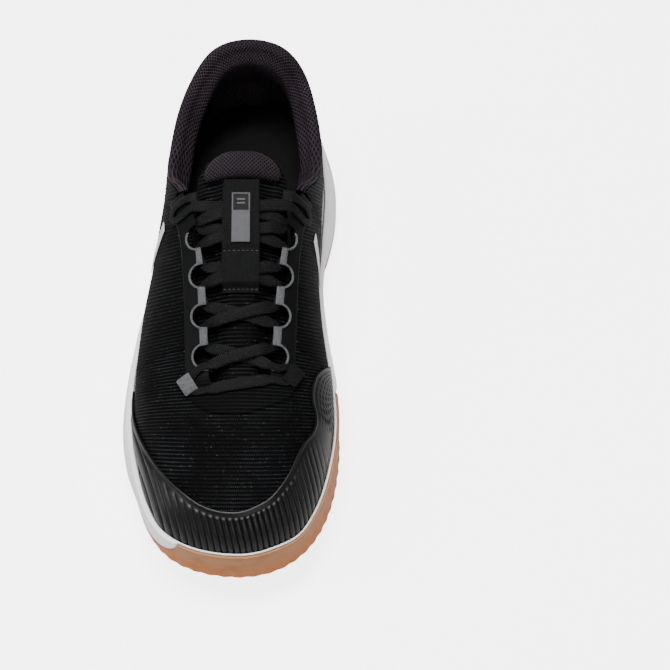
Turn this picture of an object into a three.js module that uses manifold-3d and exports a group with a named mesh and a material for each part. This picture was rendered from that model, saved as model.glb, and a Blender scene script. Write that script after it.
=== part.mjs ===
// A right-foot indoor court shoe: rubber cupsole, foam midsole, ribbed mesh upper with fused
// overlays, a padded collar, a tongue that hinges at the throat and one flat lace.
// Millimetres. +Z is up, the toe points to -Y, the lateral side of the foot is -X, and the
// origin is on the ground under the middle of the sole.
import * as THREE from "three";
import { mergeVertices } from "three/addons/utils/BufferGeometryUtils.js";
import Module from "manifold-3d";

const wasm = await Module();
wasm.setup();

// ---------------------------------------------------------------- driving dimensions
const SOLE_LENGTH = 304; // heel tip to toe tip of the outsole
const SOLE_WIDTH = 116.6; // across the ball of the foot
const LONG = SOLE_LENGTH / 304; // places along the shoe are drawn for 304 and grow with it
const WIDE = SOLE_WIDTH / 116.6; // places across it are drawn for 116.6 and grow with it
const UPPER_HEEL_Y = 146 * LONG; // where the upper meets the sole at the heel
const UPPER_TOE_Y = -146.7 * LONG; // and at the toe
const FLOOR_OF_UPPER = 24; // height of the upper's bottom edge under the ball
const RIM_HEIGHT = 5; // how far the midsole rim stands above the upper's bottom edge
const COLLAR_HEEL_Z = 101; // top of the collar at the back
const COLLAR_DIP_Z = 74; // top of the collar below the ankle bone
const COLLAR_FRONT_Z = 99; // front tips of the collar
const COLLAR_FRONT_Y = 37 * LONG;
const THROAT_BOTTOM_Y = -70 * LONG; // front of the opening between the eyestays
const GAP = 0.3; // clearance kept between touching pieces

const MESH_THICK = 1.2;
const FILM_THICK = 0.7;
const GUARD_THICK = 1.4;
const LINING_THICK = 0.7;
const PUFF_THICK = 0.5;
const COUNTER_THICK = 1.6;
const BOARD_THICK = 1.6;
const INSOLE_THICK = 4.5;
const RUBBER_WALL = 1.6; // the outsole's upturned edge
const RUBBER_FLOOR = 4.2;
const RIM_WALL = 3; // width of the midsole's rim

const NOTCH_PITCH = 20.2 * LONG; // lace notches along each eyestay
const NOTCH_FIRST_Y = -52.8 * LONG;
const NOTCH_COUNT = 4;
const NOTCH_RADIUS = 6;
const WEBBING_EDGE = 1.3; // webbing that shows round a notch
const WEBBING_BAND = 4.2; // width of the webbing between notches
const LACE_WIDTH = 6.4;
const LACE_THICK = 1.4;
const TONGUE_HALF = 28 * WIDE;
const TOP_ROW_Y = NOTCH_FIRST_Y + (NOTCH_COUNT - 1) * NOTCH_PITCH + 12.2; // the highest lace row
const TONGUE_TOP_Y = TOP_ROW_Y + 27;
const TONGUE_FRONT_Y = -66 * LONG; // where the tongue is stitched down and hinges
const STRAP_WIDTH = 19;
const STRAP_THICK = 1.1;

// ---------------------------------------------------------------- small maths helpers
const clamp = (v, lo, hi) => Math.min(hi, Math.max(lo, v));
const mix = (a, b, t) => a + (b - a) * t;
const smooth = (v, lo, hi) => {
  const t = clamp((v - lo) / (hi - lo), 0, 1);
  return t * t * (3 - 2 * t);
};

// A smooth curve through [position, value] pairs, in rising order of position.
function spline(pairs) {
  const x = pairs.map((p) => p[0]);
  const v = pairs.map((p) => p[1]);
  const n = x.length;
  const slope = v.map((_, i) => {
    if (i === 0) return (v[1] - v[0]) / (x[1] - x[0]);
    if (i === n - 1) return (v[i] - v[i - 1]) / (x[i] - x[i - 1]);
    const before = (v[i] - v[i - 1]) / (x[i] - x[i - 1]);
    const after = (v[i + 1] - v[i]) / (x[i + 1] - x[i]);
    const h0 = x[i] - x[i - 1];
    const h1 = x[i + 1] - x[i];
    return (before * h1 + after * h0) / (h0 + h1);
  });
  return (at) => {
    const q = clamp(at, x[0], x[n - 1]);
    let i = 0;
    while (i < n - 2 && q > x[i + 1]) i++;
    const h = x[i + 1] - x[i];
    const t = (q - x[i]) / h;
    const a = 1 + t * t * (2 * t - 3);
    const b = t * (1 - t) * (1 - t);
    const c = t * t * (3 - 2 * t);
    const d = t * t * (t - 1);
    return a * v[i] + b * h * slope[i] + c * v[i + 1] + d * h * slope[i + 1];
  };
}

// A curve along the shoe, from [y, value] pairs drawn for the sizes it has as built.
const profile = (pairs, scale = 1) => spline(pairs.map(([y, v]) => [y * LONG, v * scale]));

// Station u runs from 0 at the heel to 1 at the toe, close together at both ends, so that an
// outline whose width is smooth in u has round ends.
const stationY = (u, heel, toe) => mix(heel, toe, (1 - Math.cos(Math.PI * u)) / 2);
const stationOf = (y, heel, toe) =>
  Math.acos(clamp(1 - (2 * (heel - y)) / (heel - toe), -1, 1)) / Math.PI;

// One side of an outline seen from above, from [y, x] pairs drawn from heel to toe.
function sideOutline(pairs) {
  const heel = pairs[0][0] * LONG;
  const toe = pairs[pairs.length - 1][0] * LONG;
  const x = spline(pairs.map(([y, v]) => [stationOf(y * LONG, heel, toe), v * WIDE]));
  return (u) => ({ x: x(u), y: stationY(u, heel, toe) });
}

// ---------------------------------------------------------------- outlines and profiles
// The upper's bottom edge, seen from above.
const HEEL_X = 9;
const TOE_X = 7;
const upperLateral = sideOutline([
  [146, HEEL_X], [140, -11], [130, -21], [108, -31], [80, -35], [45, -36.5],
  [15, -40], [-12, -45.3], [-44, -49], [-70, -49], [-96, -44.8], [-118, -38.5],
  [-132, -31], [-141, -19], [-146.7, TOE_X],
]);
const upperMedial = sideOutline([
  [146, HEEL_X], [140, 29], [130, 39], [108, 46], [80, 48.5], [45, 46.5],
  [15, 44.5], [-12, 47], [-44, 52], [-70, 53.5], [-96, 50.5], [-122, 43],
  [-136, 34.5], [-142.5, 23.5], [-146.7, TOE_X],
]);
// The widest outline of the sole, seen from above.
const soleLateral = sideOutline([
  [152, HEEL_X], [146, -9], [133, -24], [113, -34.5], [85, -38], [50, -38.5],
  [22, -41.5], [3, -48], [-17, -54.8], [-45, -58],
  [-64, -58.3], [-82, -56.6], [-102, -50], [-123, -42.3], [-138, -31.5],
  [-147, -18], [-152, TOE_X],
]);
const soleMedial = sideOutline([
  [152, HEEL_X], [146, 27], [135, 40.5], [118, 53], [100, 57.2], [80, 57.2],
  [55, 53], [35, 47], [15, 44.5], [-10, 47.5], [-35, 54],
  [-64, 58.3], [-88, 57.9], [-108, 54], [-128, 45.8], [-140, 36.5],
  [-148, 25], [-152, TOE_X],
]);
const spineX = profile([[-150, TOE_X], [-62, 7.2], [0, 7.4], [40, 7.2], [150, HEEL_X]], WIDE);
const featherZ = profile([
  [-150, 30], [-130, 26.5], [-100, FLOOR_OF_UPPER], [-60, FLOOR_OF_UPPER + 0.5],
  [0, FLOOR_OF_UPPER + 4], [60, FLOOR_OF_UPPER + 7.5], [150, FLOOR_OF_UPPER + 9],
]);
const spring = profile([
  [-152, 11], [-140, 7.4], [-122, 3.2], [-104, 0.7], [-88, 0], [0, 0], [112, 0],
  [132, 1.2], [152, 5],
]);
const groundZ = (y) => Math.max(0, spring(y));
const rimZ = (y) => featherZ(y) + RIM_HEIGHT;
const spineZ = profile([
  [-150, 50], [-118, 57.5], [-90, 63], [-62, 70.5], [-40, 79.5], [-20, 88.5], [0, 97],
  [20, 103.5], [40, 110], [60, 119], [85, 130], [150, 136],
]);
const collarZ = profile([
  [25, COLLAR_FRONT_Z - 4], [37, COLLAR_FRONT_Z],
  [56, 86], [80, COLLAR_DIP_Z], [105, 78], [126, 90],
  [138, COLLAR_HEEL_Z - 1.5], [150, COLLAR_HEEL_Z],
]);
const fullnessLateral = profile([
  [-150, 2.5], [-62, 2.35], [-20, 2.3], [10, 2.5], [40, 3.1], [60, 3], [120, 3], [150, 3.3],
]);
const fullnessMedial = profile([
  [-150, 2.5], [-62, 2.55], [-30, 2.9], [0, 3.2], [40, 4], [60, 3.6], [120, 3], [150, 3.3],
]);
const bulge = profile([
  [-150, 0.02], [-90, 0.05], [-30, 0.1], [20, 0.16], [70, 0.09], [150, 0.07],
]);
const FAN_TOE = 29 * LONG; // the spine stops this far behind the toe tip
const FAN_HEEL = 50 * LONG; // and this far in front of the heel

const HEEL_FAN_Y = 60 * LONG; // the fan of the heel starts here

// ---------------------------------------------------------------- the last
// loop runs round the shoe: 0 heel, 0.25 lateral side, 0.5 toe tip, 0.75 medial side.
const stationOfLoop = (loop) => {
  const turn = ((loop % 1) + 1) % 1;
  return turn <= 0.5 ? { side: -1, u: 2 * turn } : { side: 1, u: 2 - 2 * turn };
};
const loopAt = (side, y) => {
  const u = stationOf(y, UPPER_HEEL_Y, UPPER_TOE_Y);
  return side < 0 ? u / 2 : 1 - u / 2;
};

// The point of the upper's outer face at a place round the loop and a rise from 0, at the
// bottom edge, to 1, on the spine line along the top.
function lastPoint(loop, rise) {
  const { side, u } = stationOfLoop(loop);
  const edge = side < 0 ? upperLateral(u) : upperMedial(u);
  const frontness = clamp((THROAT_BOTTOM_Y - edge.y) / (THROAT_BOTTOM_Y - UPPER_TOE_Y), 0, 1);
  const backness = clamp((edge.y - HEEL_FAN_Y) / (UPPER_HEEL_Y - HEEL_FAN_Y), 0, 1);
  const topY = edge.y + FAN_TOE * frontness ** 2 - FAN_HEEL * backness ** 2;
  const n = side < 0 ? fullnessLateral(edge.y) : fullnessMedial(edge.y);
  const angle = (clamp(rise, 0, 1) * Math.PI) / 2;
  const c0 = Math.cos(angle);
  const s0 = Math.sin(angle);
  const norm = (c0 ** n + s0 ** n) ** (1 / n);
  const up = s0 / norm;
  const out = (c0 / norm) * (1 + bulge(edge.y) * 4 * up * (1 - up) * (1 - up));
  const y = mix(topY, edge.y, out);
  const x = mix(spineX(topY), edge.x, out);
  const bottom = featherZ(edge.y);
  return new THREE.Vector3(x, y, mix(bottom, spineZ(y), up));
}

// The same point moved out of the surface by an offset.
function last(loop, rise, offset = 0) {
  const p = lastPoint(loop, rise);
  if (!offset) return p;
  const step = 0.0015;
  const alongLoop = lastPoint(loop + step, rise).sub(lastPoint(loop - step, rise));
  const lower = Math.max(rise - 0.01, 0);
  const alongRise = lastPoint(loop, Math.min(lower + 0.02, 1)).sub(lastPoint(loop, lower));
  let normal = alongLoop.clone().cross(alongRise);
  if (rise > 0.995) {
    const slope = (spineZ(p.y + 1) - spineZ(p.y - 1)) / 2;
    normal = new THREE.Vector3(0, -slope, 1);
  }
  if (rise < 0.004) normal.z = 0;
  return p.addScaledVector(normal.normalize(), offset);
}

// The rise at which the upper's outer face reaches a height, or a half width from the spine.
function riseWhere(loop, test) {
  let lo = 0;
  let hi = 1;
  for (let i = 0; i < 26; i++) {
    const mid = (lo + hi) / 2;
    if (test(lastPoint(loop, mid))) hi = mid;
    else lo = mid;
  }
  return (lo + hi) / 2;
}
const riseAtZ = (loop, z) => riseWhere(loop, (p) => p.z >= z);
const lastAtZ = (loop, z, offset = 0) => last(loop, riseAtZ(loop, z), offset);

// ---------------------------------------------------------------- mesh builders
function solidMesh(points, triangles) {
  const geometry = new THREE.BufferGeometry();
  geometry.setAttribute("position", new THREE.Float32BufferAttribute(points.flat(), 3));
  geometry.setIndex(triangles);
  const merged = mergeVertices(geometry, 1e-3);
  const index = [...merged.index.array];
  const kept = [];
  for (let i = 0; i < index.length; i += 3) {
    const [a, b, c] = index.slice(i, i + 3);
    if (a !== b && b !== c && c !== a) kept.push(a, b, c);
  }
  merged.setIndex(kept);
  if (signedVolume(merged) < 0) {
    for (let i = 0; i < kept.length; i += 3) [kept[i], kept[i + 1]] = [kept[i + 1], kept[i]];
    merged.setIndex(kept);
  }
  return merged;
}

function signedVolume(geometry) {
  const p = geometry.attributes.position;
  const index = geometry.index.array;
  const at = (i) => new THREE.Vector3().fromBufferAttribute(p, i);
  let sum = 0;
  for (let i = 0; i < index.length; i += 3) {
    sum += at(index[i]).dot(at(index[i + 1]).cross(at(index[i + 2])));
  }
  return sum / 6;
}

const xyz = (v) => [v.x, v.y, v.z];

// Joins columns of points into one closed body. Each column is a closed section; sections are
// joined to the next, and the two end sections are capped unless the body closes on itself.
// open(i, j) leaves out the strip from point j to j + 1 between sections i and i + 1.
function sweep(sections, { closed = false, cap = true, open = () => false } = {}) {
  const rows = sections.length;
  const n = sections[0].length;
  const triangles = [];
  for (let i = 0; i < (closed ? rows : rows - 1); i++) {
    const k = (i + 1) % rows;
    for (let j = 0; j < n; j++) {
      if (open(i, j)) continue;
      const a = i * n + j;
      const b = i * n + ((j + 1) % n);
      const c = k * n + ((j + 1) % n);
      const d = k * n + j;
      if (j < n / 2) triangles.push(a, b, c, a, c, d);
      else triangles.push(a, b, d, b, c, d);
    }
  }
  if (!closed && cap) {
    for (const [row, flip] of [[0, false], [rows - 1, true]]) {
      for (let j = 0; j < n / 2 - 1; j++) {
        const a = row * n + j;
        const b = row * n + j + 1;
        const c = row * n + (n - 2 - j);
        const d = row * n + (n - 1 - j);
        const quad = [a, d, c, a, c, b];
        if (flip) quad.reverse();
        triangles.push(...quad);
      }
    }
  }
  return solidMesh(sections.flat(), triangles);
}

// A body made of level rings that share one numbering: the point i of a ring lies opposite to
// point N - i across the shoe. The first and last rings are closed by a ladder of faces.
function stack(rings) {
  const n = rings[0].length;
  const triangles = [];
  for (let r = 0; r < rings.length - 1; r++) {
    for (let i = 0; i < n; i++) {
      const j = (i + 1) % n;
      const a = r * n + i;
      const b = r * n + j;
      const c = (r + 1) * n + j;
      const d = (r + 1) * n + i;
      if (rings[r + 1][0][2] < rings[r][0][2]) triangles.push(a, b, d, b, c, d);
      else triangles.push(a, b, c, a, c, d);
    }
  }
  for (const [r, flip] of [[0, false], [rings.length - 1, true]]) {
    for (let i = 0; i < n / 2; i++) {
      const a = r * n + i;
      const b = r * n + i + 1;
      const c = r * n + ((n - i - 1) % n);
      const d = r * n + ((n - i) % n);
      const quad = [a, c, b, a, d, c];
      if (flip) quad.reverse();
      triangles.push(...quad);
    }
  }
  return solidMesh(rings.flat(), triangles);
}

const range = (from, to, count) =>
  Array.from({ length: count + 1 }, (_, i) => mix(from, to, i / count));

// A sheet of the upper: columns at the given loop places, from rise low(loop) to high(loop),
// between two offsets from the last. Where high reaches 1 its two sides meet on the spine.
function sheet(loops, low, high, inner, outer, steps) {
  const tops = loops.map((l) => high(l));
  const sections = loops.map((l, i) => {
    const rises = range(low(l), tops[i], steps);
    const outside = rises.map((r) => xyz(last(l, r, outer)));
    const inside = rises.map((r) => xyz(last(l, r, inner))).reverse();
    return [...outside, ...inside];
  });
  return sweep(sections, { open: (i, j) => j === steps && tops[i] >= 1 && tops[i + 1] >= 1 });
}

// ---------------------------------------------------------------- booleans
function toSolid(geometry) {
  return new wasm.Manifold(
    new wasm.Mesh({
      numProp: 3,
      vertProperties: geometry.attributes.position.array,
      triVerts: new Uint32Array(geometry.index.array),
    }),
  );
}

function fromSolid(solid) {
  const mesh = solid.getMesh();
  const geometry = new THREE.BufferGeometry();
  geometry.setAttribute("position", new THREE.BufferAttribute(mesh.vertProperties, 3));
  geometry.setIndex(new THREE.BufferAttribute(mesh.triVerts, 1));
  return geometry;
}

function plainGeometry(geometry, matrix) {
  const bare = geometry.clone();
  bare.deleteAttribute("normal");
  bare.deleteAttribute("uv");
  return mergeVertices(bare.applyMatrix4(matrix), 1e-3);
}

function cut(geometry, tools) {
  let solid = toSolid(geometry);
  for (const tool of tools) solid = solid.subtract(toSolid(tool));
  return fromSolid(solid);
}

// ---------------------------------------------------------------- materials
const look = (color, roughness, metalness = 0) =>
  new THREE.MeshStandardMaterial({ color, roughness, metalness });
const ribbedMesh = look(0x15151a, 0.8);
const airMesh = look(0x241f26, 0.9);
const film = look(0x1b1b1f, 0.45);
const guardRubber = look(0x17171a, 0.5);
const foamWhite = look(0xf2f2f0, 0.6);
const gumRubber = look(0xc98c5e, 0.55);
const webbingGrey = look(0x77757e, 0.8);
const laceBlack = look(0x141416, 0.85);
const textileBlack = look(0x101013, 0.9);
const stiffBoard = look(0xcfc8b8, 0.9);
const paddingFoam = look(0x55555a, 0.95);
const stripeWhite = look(0xe9e9ea, 0.5);
const labelGrey = look(0x8b8b90, 0.6);

const shoe = new THREE.Group();
function add(name, geometry, material) {
  const mesh = new THREE.Mesh(geometry, material);
  mesh.name = name;
  shoe.add(mesh);
  return mesh;
}

// ---------------------------------------------------------------- sole unit
const RING = 64; // points round a ring of the sole
const ringLoops = Array.from({ length: RING }, (_, i) => i / RING);
const ring = (place) => ringLoops.map((loop) => place(loop));

const footOf = (loop) => {
  const { u, side } = stationOfLoop(loop);
  return side < 0 ? upperLateral(u) : upperMedial(u);
};

function soleEdge(loop) {
  const { side, u } = stationOfLoop(loop);
  return side < 0 ? soleLateral(u) : soleMedial(u);
}

// Height of the rubber wrap's top edge above the ground: high round the toe and along the
// inner forefoot, low elsewhere.
const wrapLateral = profile([
  [-152, 38], [-146, 36], [-141, 24], [-134, 15.5], [-126, 11.5], [-110, 8], [-60, 6.6],
  [60, 7.5], [130, 9], [152, 12],
]);
const wrapMedial = profile([
  [-152, 38], [-130, 36], [-100, 34], [-62, 32], [-50, 28], [-40, 18], [-31, 10.5],
  [-20, 8], [60, 8.5], [130, 9.5], [152, 12],
]);
const RIM_SHOWS = 0.5; // the wrap stays this far below the rim's top
const wrapTop = (loop) => {
  const { side } = stationOfLoop(loop);
  const { y } = soleEdge(loop);
  const curve = side < 0 ? wrapLateral(y) : wrapMedial(y);
  return Math.min(curve, rimZ(footOf(loop).y) - RIM_SHOWS);
};

// A point of the sole's side wall: level 0 is its lower edge, 1 the top of the rim.
function wall(loop, level, inset = 0) {
  const edge = soleEdge(loop);
  const before = soleEdge(loop - 0.004);
  const after = soleEdge(loop + 0.004);
  const along = new THREE.Vector2(after.x - before.x, after.y - before.y).normalize();
  const outward = new THREE.Vector2(-along.y, along.x);
  const centre = new THREE.Vector2(edge.x - spineX(edge.y), edge.y * 0.6);
  if (outward.dot(centre) < 0) outward.negate();
  const rimPoint = lastAtZ(loop, rimZ(footOf(loop).y), GAP + GUARD_THICK + GAP + RIM_WALL);
  const inwards = clamp((level - 0.35) / 0.65, 0, 1);
  const tuck = 2.2 * (1 - clamp(level / 0.18, 0, 1)) ** 2;
  const z = mix(groundZ(edge.y), rimPoint.z, level);
  const x = mix(edge.x - outward.x * tuck, rimPoint.x, inwards ** 1.6);
  const y = mix(edge.y - outward.y * tuck, rimPoint.y, inwards ** 1.6);
  return [x - outward.x * inset, y - outward.y * inset, z];
}
const levelAt = (loop, z) => {
  const low = wall(loop, 0)[2];
  const high = wall(loop, 1)[2];
  return (z - low) / (high - low);
};
const setZ = (point, z) => [point[0], point[1], z];

// The dish inside the rubber, as rings from its floor up to the top of the wrap.
const dishFloor = (loop) => groundZ(soleEdge(loop).y) + RUBBER_FLOOR;
const dish = (extra) => [
  ring((l) => setZ(wall(l, 0.2, RUBBER_WALL + 0.6 + extra), dishFloor(l) + extra)),
  ring((l) => wall(l, levelAt(l, (dishFloor(l) + extra + wrapTop(l)) / 2), RUBBER_WALL + extra)),
  ring((l) => wall(l, levelAt(l, wrapTop(l)), RUBBER_WALL + extra)),
];

function outsole() {
  const outer = [0.2, 0.45, 0.75, 1].map((part) =>
    ring((l) => wall(l, levelAt(l, wrapTop(l)) * part)),
  );
  return stack([ring((l) => wall(l, 0, 1.2)), ...outer, ...dish(0).reverse()]);
}

// Where the wrap reaches the rim the midsole stays inside it; elsewhere it steps out over it.
function midsole() {
  const step = (loop) => levelAt(loop, wrapTop(loop) + GAP);
  const tucked = (loop) => RUBBER_WALL * smooth(step(loop), 0.86, 0.96);
  const inner = GAP + GUARD_THICK + 0.5;
  const rings = [
    ...dish(GAP),
    ring((l) => wall(l, step(l), RUBBER_WALL + GAP)),
    ring((l) => wall(l, step(l), tucked(l))),
    ring((l) => wall(l, mix(step(l), 1, 0.35), tucked(l))),
    ring((l) => wall(l, mix(step(l), 1, 0.7), tucked(l))),
    ring((l) => wall(l, 1, tucked(l))),
    ring((l) => xyz(lastAtZ(l, rimZ(footOf(l).y), inner))),
    ring((l) => xyz(lastAtZ(l, featherZ(footOf(l).y) + 3, inner))),
    ring((l) => xyz(lastAtZ(l, featherZ(footOf(l).y) + 1, inner))),
    ring((l) => setZ(xyz(last(l, 0, inner - 0.2)), featherZ(footOf(l).y) - GAP)),
  ];
  return stack(rings);
}

// A flat piece inside the upper that follows its bottom edge, inset from it.
function bed(inset, bottom, top, cupRise = 0) {
  const at = (loop, more, z) =>
    setZ(xyz(last(loop, 0, -inset - more)), featherZ(footOf(loop).y) + z);
  const cup = (loop) => cupRise * smooth(footOf(loop).y, -20 * LONG, 90 * LONG);
  const rings = [
    ring((l) => at(l, 1, bottom)),
    ring((l) => at(l, 0, bottom + 0.6)),
    ring((l) => at(l, 0.2, top + cup(l))),
    ring((l) => at(l, 2.2, top + cup(l))),
    ring((l) => at(l, 6, top)),
  ];
  return stack(rings);
}

// Zigzag tread grooves and two wide flex grooves, cut into the bottom face.
function grooveTool(y, width, depth, halfWidth, zigzag) {
  const points = range(-halfWidth, halfWidth, 8).map((x, i) => [x, y + (i % 2 ? zigzag : -zigzag)]);
  const outline = [
    ...points.map(([x, v]) => new THREE.Vector2(x, v - width / 2)),
    ...points.map(([x, v]) => new THREE.Vector2(x, v + width / 2)).reverse(),
  ];
  const shape = new THREE.Shape(outline);
  const bar = new THREE.ExtrudeGeometry(shape, { depth: depth + 2, bevelEnabled: false });
  return plainGeometry(bar, new THREE.Matrix4().makeTranslation(2, 0, -2));
}
const TREAD_DEPTH = 1.4;
const treadTools = [
  ...range(-112 * LONG, -22 * LONG, 6).map((y) => grooveTool(y, 2, TREAD_DEPTH, 44 * WIDE, 2.5)),
  ...range(72 * LONG, 126 * LONG, 4).map((y) => grooveTool(y, 2, TREAD_DEPTH, 34 * WIDE, 2.5)),
];

add("outsole", cut(outsole(), treadTools), gumRubber);
add("midsole", midsole(), foamWhite);
add("lasting_board", bed(MESH_THICK + GAP, 0, BOARD_THICK), stiffBoard);
add("insole", bed(5.8, BOARD_THICK + GAP, BOARD_THICK + GAP + INSOLE_THICK, 4), textileBlack);

// ---------------------------------------------------------------- upper: openings and edges
const VAMP_BACK_Y = -47 * LONG; // seam between the vamp and the quarters
const SETBACK = 8; // the mesh stops this far outside the throat's edge, under the film
const SPOT = 5e-4; // half of the narrow seam kept between the two quarters at the heel

// Half of the gap between the two eyestays: an arch at its front end, nearly straight
// beside the lace, then widening to the collar's front tips. extra moves it outwards.
const gapHalf = profile([
  [-70, 16], [-58, 16.4], [-40, 17.2], [-20, 18.5], [0, 20.8], [16, 24], [28, 28.5], [40, 33.5],
], WIDE);
// Less width is added where the flanks are steep.
const tighten = (y) => 1 - 0.5 * smooth(y, -30 * LONG, 25 * LONG);
const ARCH_LENGTH = 9;
const ARCH_POWER = 2.6;
function throatHalf(y, extra = 0) {
  const arch = clamp((THROAT_BOTTOM_Y + ARCH_LENGTH - y) / (ARCH_LENGTH + extra), 0, 1);
  return (gapHalf(y) + extra * tighten(y)) * (1 - arch ** ARCH_POWER) ** (1 / ARCH_POWER);
}
// The rise of the throat's edge; 1 in front of the throat.
function throatRise(loop, extra = 0) {
  if (lastPoint(loop, 1).y <= THROAT_BOTTOM_Y - extra) return 1;
  return riseWhere(loop, (p) => Math.abs(p.x - spineX(p.y)) <= throatHalf(p.y, extra));
}
const edgeRise = (loop, below, extra) => {
  const { y } = footOf(loop);
  if (y > COLLAR_FRONT_Y) return riseAtZ(loop, collarZ(y) - below);
  return throatRise(loop, extra);
};
const aboveBoard = (loop) => riseAtZ(loop, featherZ(footOf(loop).y) + BOARD_THICK + GAP);

// Loop places for a front panel: even steps, and two close steps where the throat's arch
// crosses the spine so that the two halves part cleanly.
function frontLoops(backY, extra) {
  const lateral = loopAt(-1, backY);
  const medial = loopAt(1, backY);
  const atSpine = (side) => {
    let lo = 0.5;
    let hi = side < 0 ? lateral : medial;
    for (let i = 0; i < 30; i++) {
      const mid = (lo + hi) / 2;
      if (lastPoint(mid, 1).y > THROAT_BOTTOM_Y - extra) hi = mid;
      else lo = mid;
    }
    return (lo + hi) / 2;
  };
  const a = atSpine(-1);
  const b = atSpine(1);
  return [
    ...range(lateral, a - 4e-4, 6),
    ...range(a + 4e-4, b - 4e-4, 24),
    ...range(b + 4e-4, medial, 6),
  ];
}

// ---------------------------------------------------------------- upper: mesh and linings
const GLUE = 0.35; // extra room round the toe stiffener
const INNER = -MESH_THICK - GAP; // room for a stiffener behind the mesh
const LINING_OUT = INNER - GLUE - PUFF_THICK - GAP;
const LINING_IN = LINING_OUT - LINING_THICK;

const seam = (side) => (side < 0 ? SPOT : 1 - SPOT);

const vampLoops = frontLoops(VAMP_BACK_Y, SETBACK);
const vampTop = (loop) => throatRise(loop, SETBACK);
add("vamp_mesh", sheet(vampLoops, () => 0, vampTop, -MESH_THICK, 0, 7), ribbedMesh);
add("vamp_lining", sheet(vampLoops, aboveBoard, vampTop, LINING_IN, LINING_OUT, 6), textileBlack);
for (const [side, name] of [[-1, "lateral"], [1, "medial"]]) {
  const front = loopAt(side, VAMP_BACK_Y + GAP);
  const corner = loopAt(side, COLLAR_FRONT_Y);
  const loops = [...range(front, corner, 10), ...range(corner, seam(side), 16).slice(1)];
  add(
    "quarter_mesh_" + name,
    sheet(loops, () => 0, (l) => edgeRise(l, 4, SETBACK), -MESH_THICK, 0, 7),
    ribbedMesh,
  );
  add(
    "quarter_lining_" + name,
    sheet(range(front, loopAt(side, COLLAR_FRONT_Y - 1), 10), aboveBoard,
      (l) => edgeRise(l, 4, SETBACK), LINING_IN, LINING_OUT, 6),
    textileBlack,
  );
}

// ---------------------------------------------------------------- upper: stiffeners
const PUFF_BACK_Y = -104 * LONG;
const COUNTER_FRONT_LOOP = loopAt(-1, 72 * LONG);
const puffTop = (loop) => riseAtZ(loop, 50 - 72 * Math.abs(loop - 0.5));
const counterTop = (loop) => riseAtZ(loop, 64 - 60 * Math.abs(loop));
add(
  "toe_puff",
  sheet(range(loopAt(-1, PUFF_BACK_Y), loopAt(1, PUFF_BACK_Y), 22), aboveBoard, puffTop,
    INNER - GLUE - PUFF_THICK, INNER - GLUE, 5),
  stiffBoard,
);
add(
  "heel_counter",
  sheet(range(COUNTER_FRONT_LOOP, -COUNTER_FRONT_LOOP, 24), aboveBoard, counterTop,
    INNER - COUNTER_THICK, INNER, 4),
  stiffBoard,
);

// ---------------------------------------------------------------- padded collar
const COLLAR_LOOPS = range(loopAt(-1, COLLAR_FRONT_Y), loopAt(1, COLLAR_FRONT_Y) - 1, 30);
function padThick(z, top, bottom) {
  const swell = smooth(z, Math.max(top - 44, bottom + 13), top - 16);
  return 3.2 + 7.5 * swell * (1 - 0.25 * smooth(z, top - 8, top));
}

// The padding is a little thinner towards the collar's front ends.
const fullAt = (loop) => 1 - 0.3 * smooth(Math.abs(loop), 0.17, loopAt(-1, COLLAR_FRONT_Y));
function wallDepth(loop, z) {
  const { y } = footOf(loop);
  const full = fullAt(loop);
  const bottom = featherZ(y) + BOARD_THICK + GAP + 0.4;
  return (padThick(z, collarZ(y), bottom) + 1.6) * full + (1 - full) * 3.2;
}

// The collar's inner face as [offset, height] pairs, from just above the mesh's top edge,
// over the roll and down to the insole. skin moves it inwards, towards the foam.
function collarPath(loop, skin) {
  const { y } = footOf(loop);
  const top = collarZ(y);
  const bottom = featherZ(y) + BOARD_THICK + GAP + 0.4;
  const full = fullAt(loop);
  const roll = [
    [-0.1 - skin * 0.4, top - 3.4 + GAP + skin * 0.4],
    [-0.3 - skin, top - 2],
    [-1.4 - skin * 0.8, top - 0.6 - skin * 0.8],
    [-3.2, top - skin],
    [-5.6 + skin * 0.5, top - 1 - skin * 0.9],
    [-7.6 + skin * 0.9, top - 3.4 - skin * 0.4],
  ].map(([d, z]) => [d * full, z]);
  const wallPart = range(top - 8, bottom, 7).map((z) => [skin - wallDepth(loop, z), z]);
  return [...roll, ...wallPart];
}
const collarPoint = (loop, [d, z]) => xyz(lastAtZ(loop, z, d));
const collarSections = (from, to) =>
  COLLAR_LOOPS.map((l) => [
    ...collarPath(l, from).map((q) => collarPoint(l, q)),
    ...collarPath(l, to).map((q) => collarPoint(l, q)).reverse(),
  ]);
add("collar_lining", sweep(collarSections(0, LINING_THICK)), airMesh);

// Foam between the collar lining and the mesh, stopping short of the heel counter's face.
const collarFoam = COLLAR_LOOPS.slice(1, -1).map((loop) => {
  const { y } = footOf(loop);
  const top = collarZ(y);
  const bottom = featherZ(y) + BOARD_THICK + GAP + 0.4;
  const low = Math.max(top - 44, bottom + 13) + 8;
  const zs = range(top - 4.4, low, 6);
  const liningSide = (z) =>
    (LINING_THICK + GAP + 0.4 - wallDepth(loop, z)) * (1 - 0.42 * smooth(z, top - 10, top - 4));
  const shellSide = (z) => (z < 66 ? INNER - COUNTER_THICK - GAP : INNER - GAP);
  return [
    ...zs.map((z) => collarPoint(loop, [Math.min(liningSide(z), shellSide(z) - 0.5), z])),
    ...zs.map((z) => collarPoint(loop, [shellSide(z), z])).reverse(),
  ];
});
add("collar_foam", sweep(collarFoam), paddingFoam);

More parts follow.
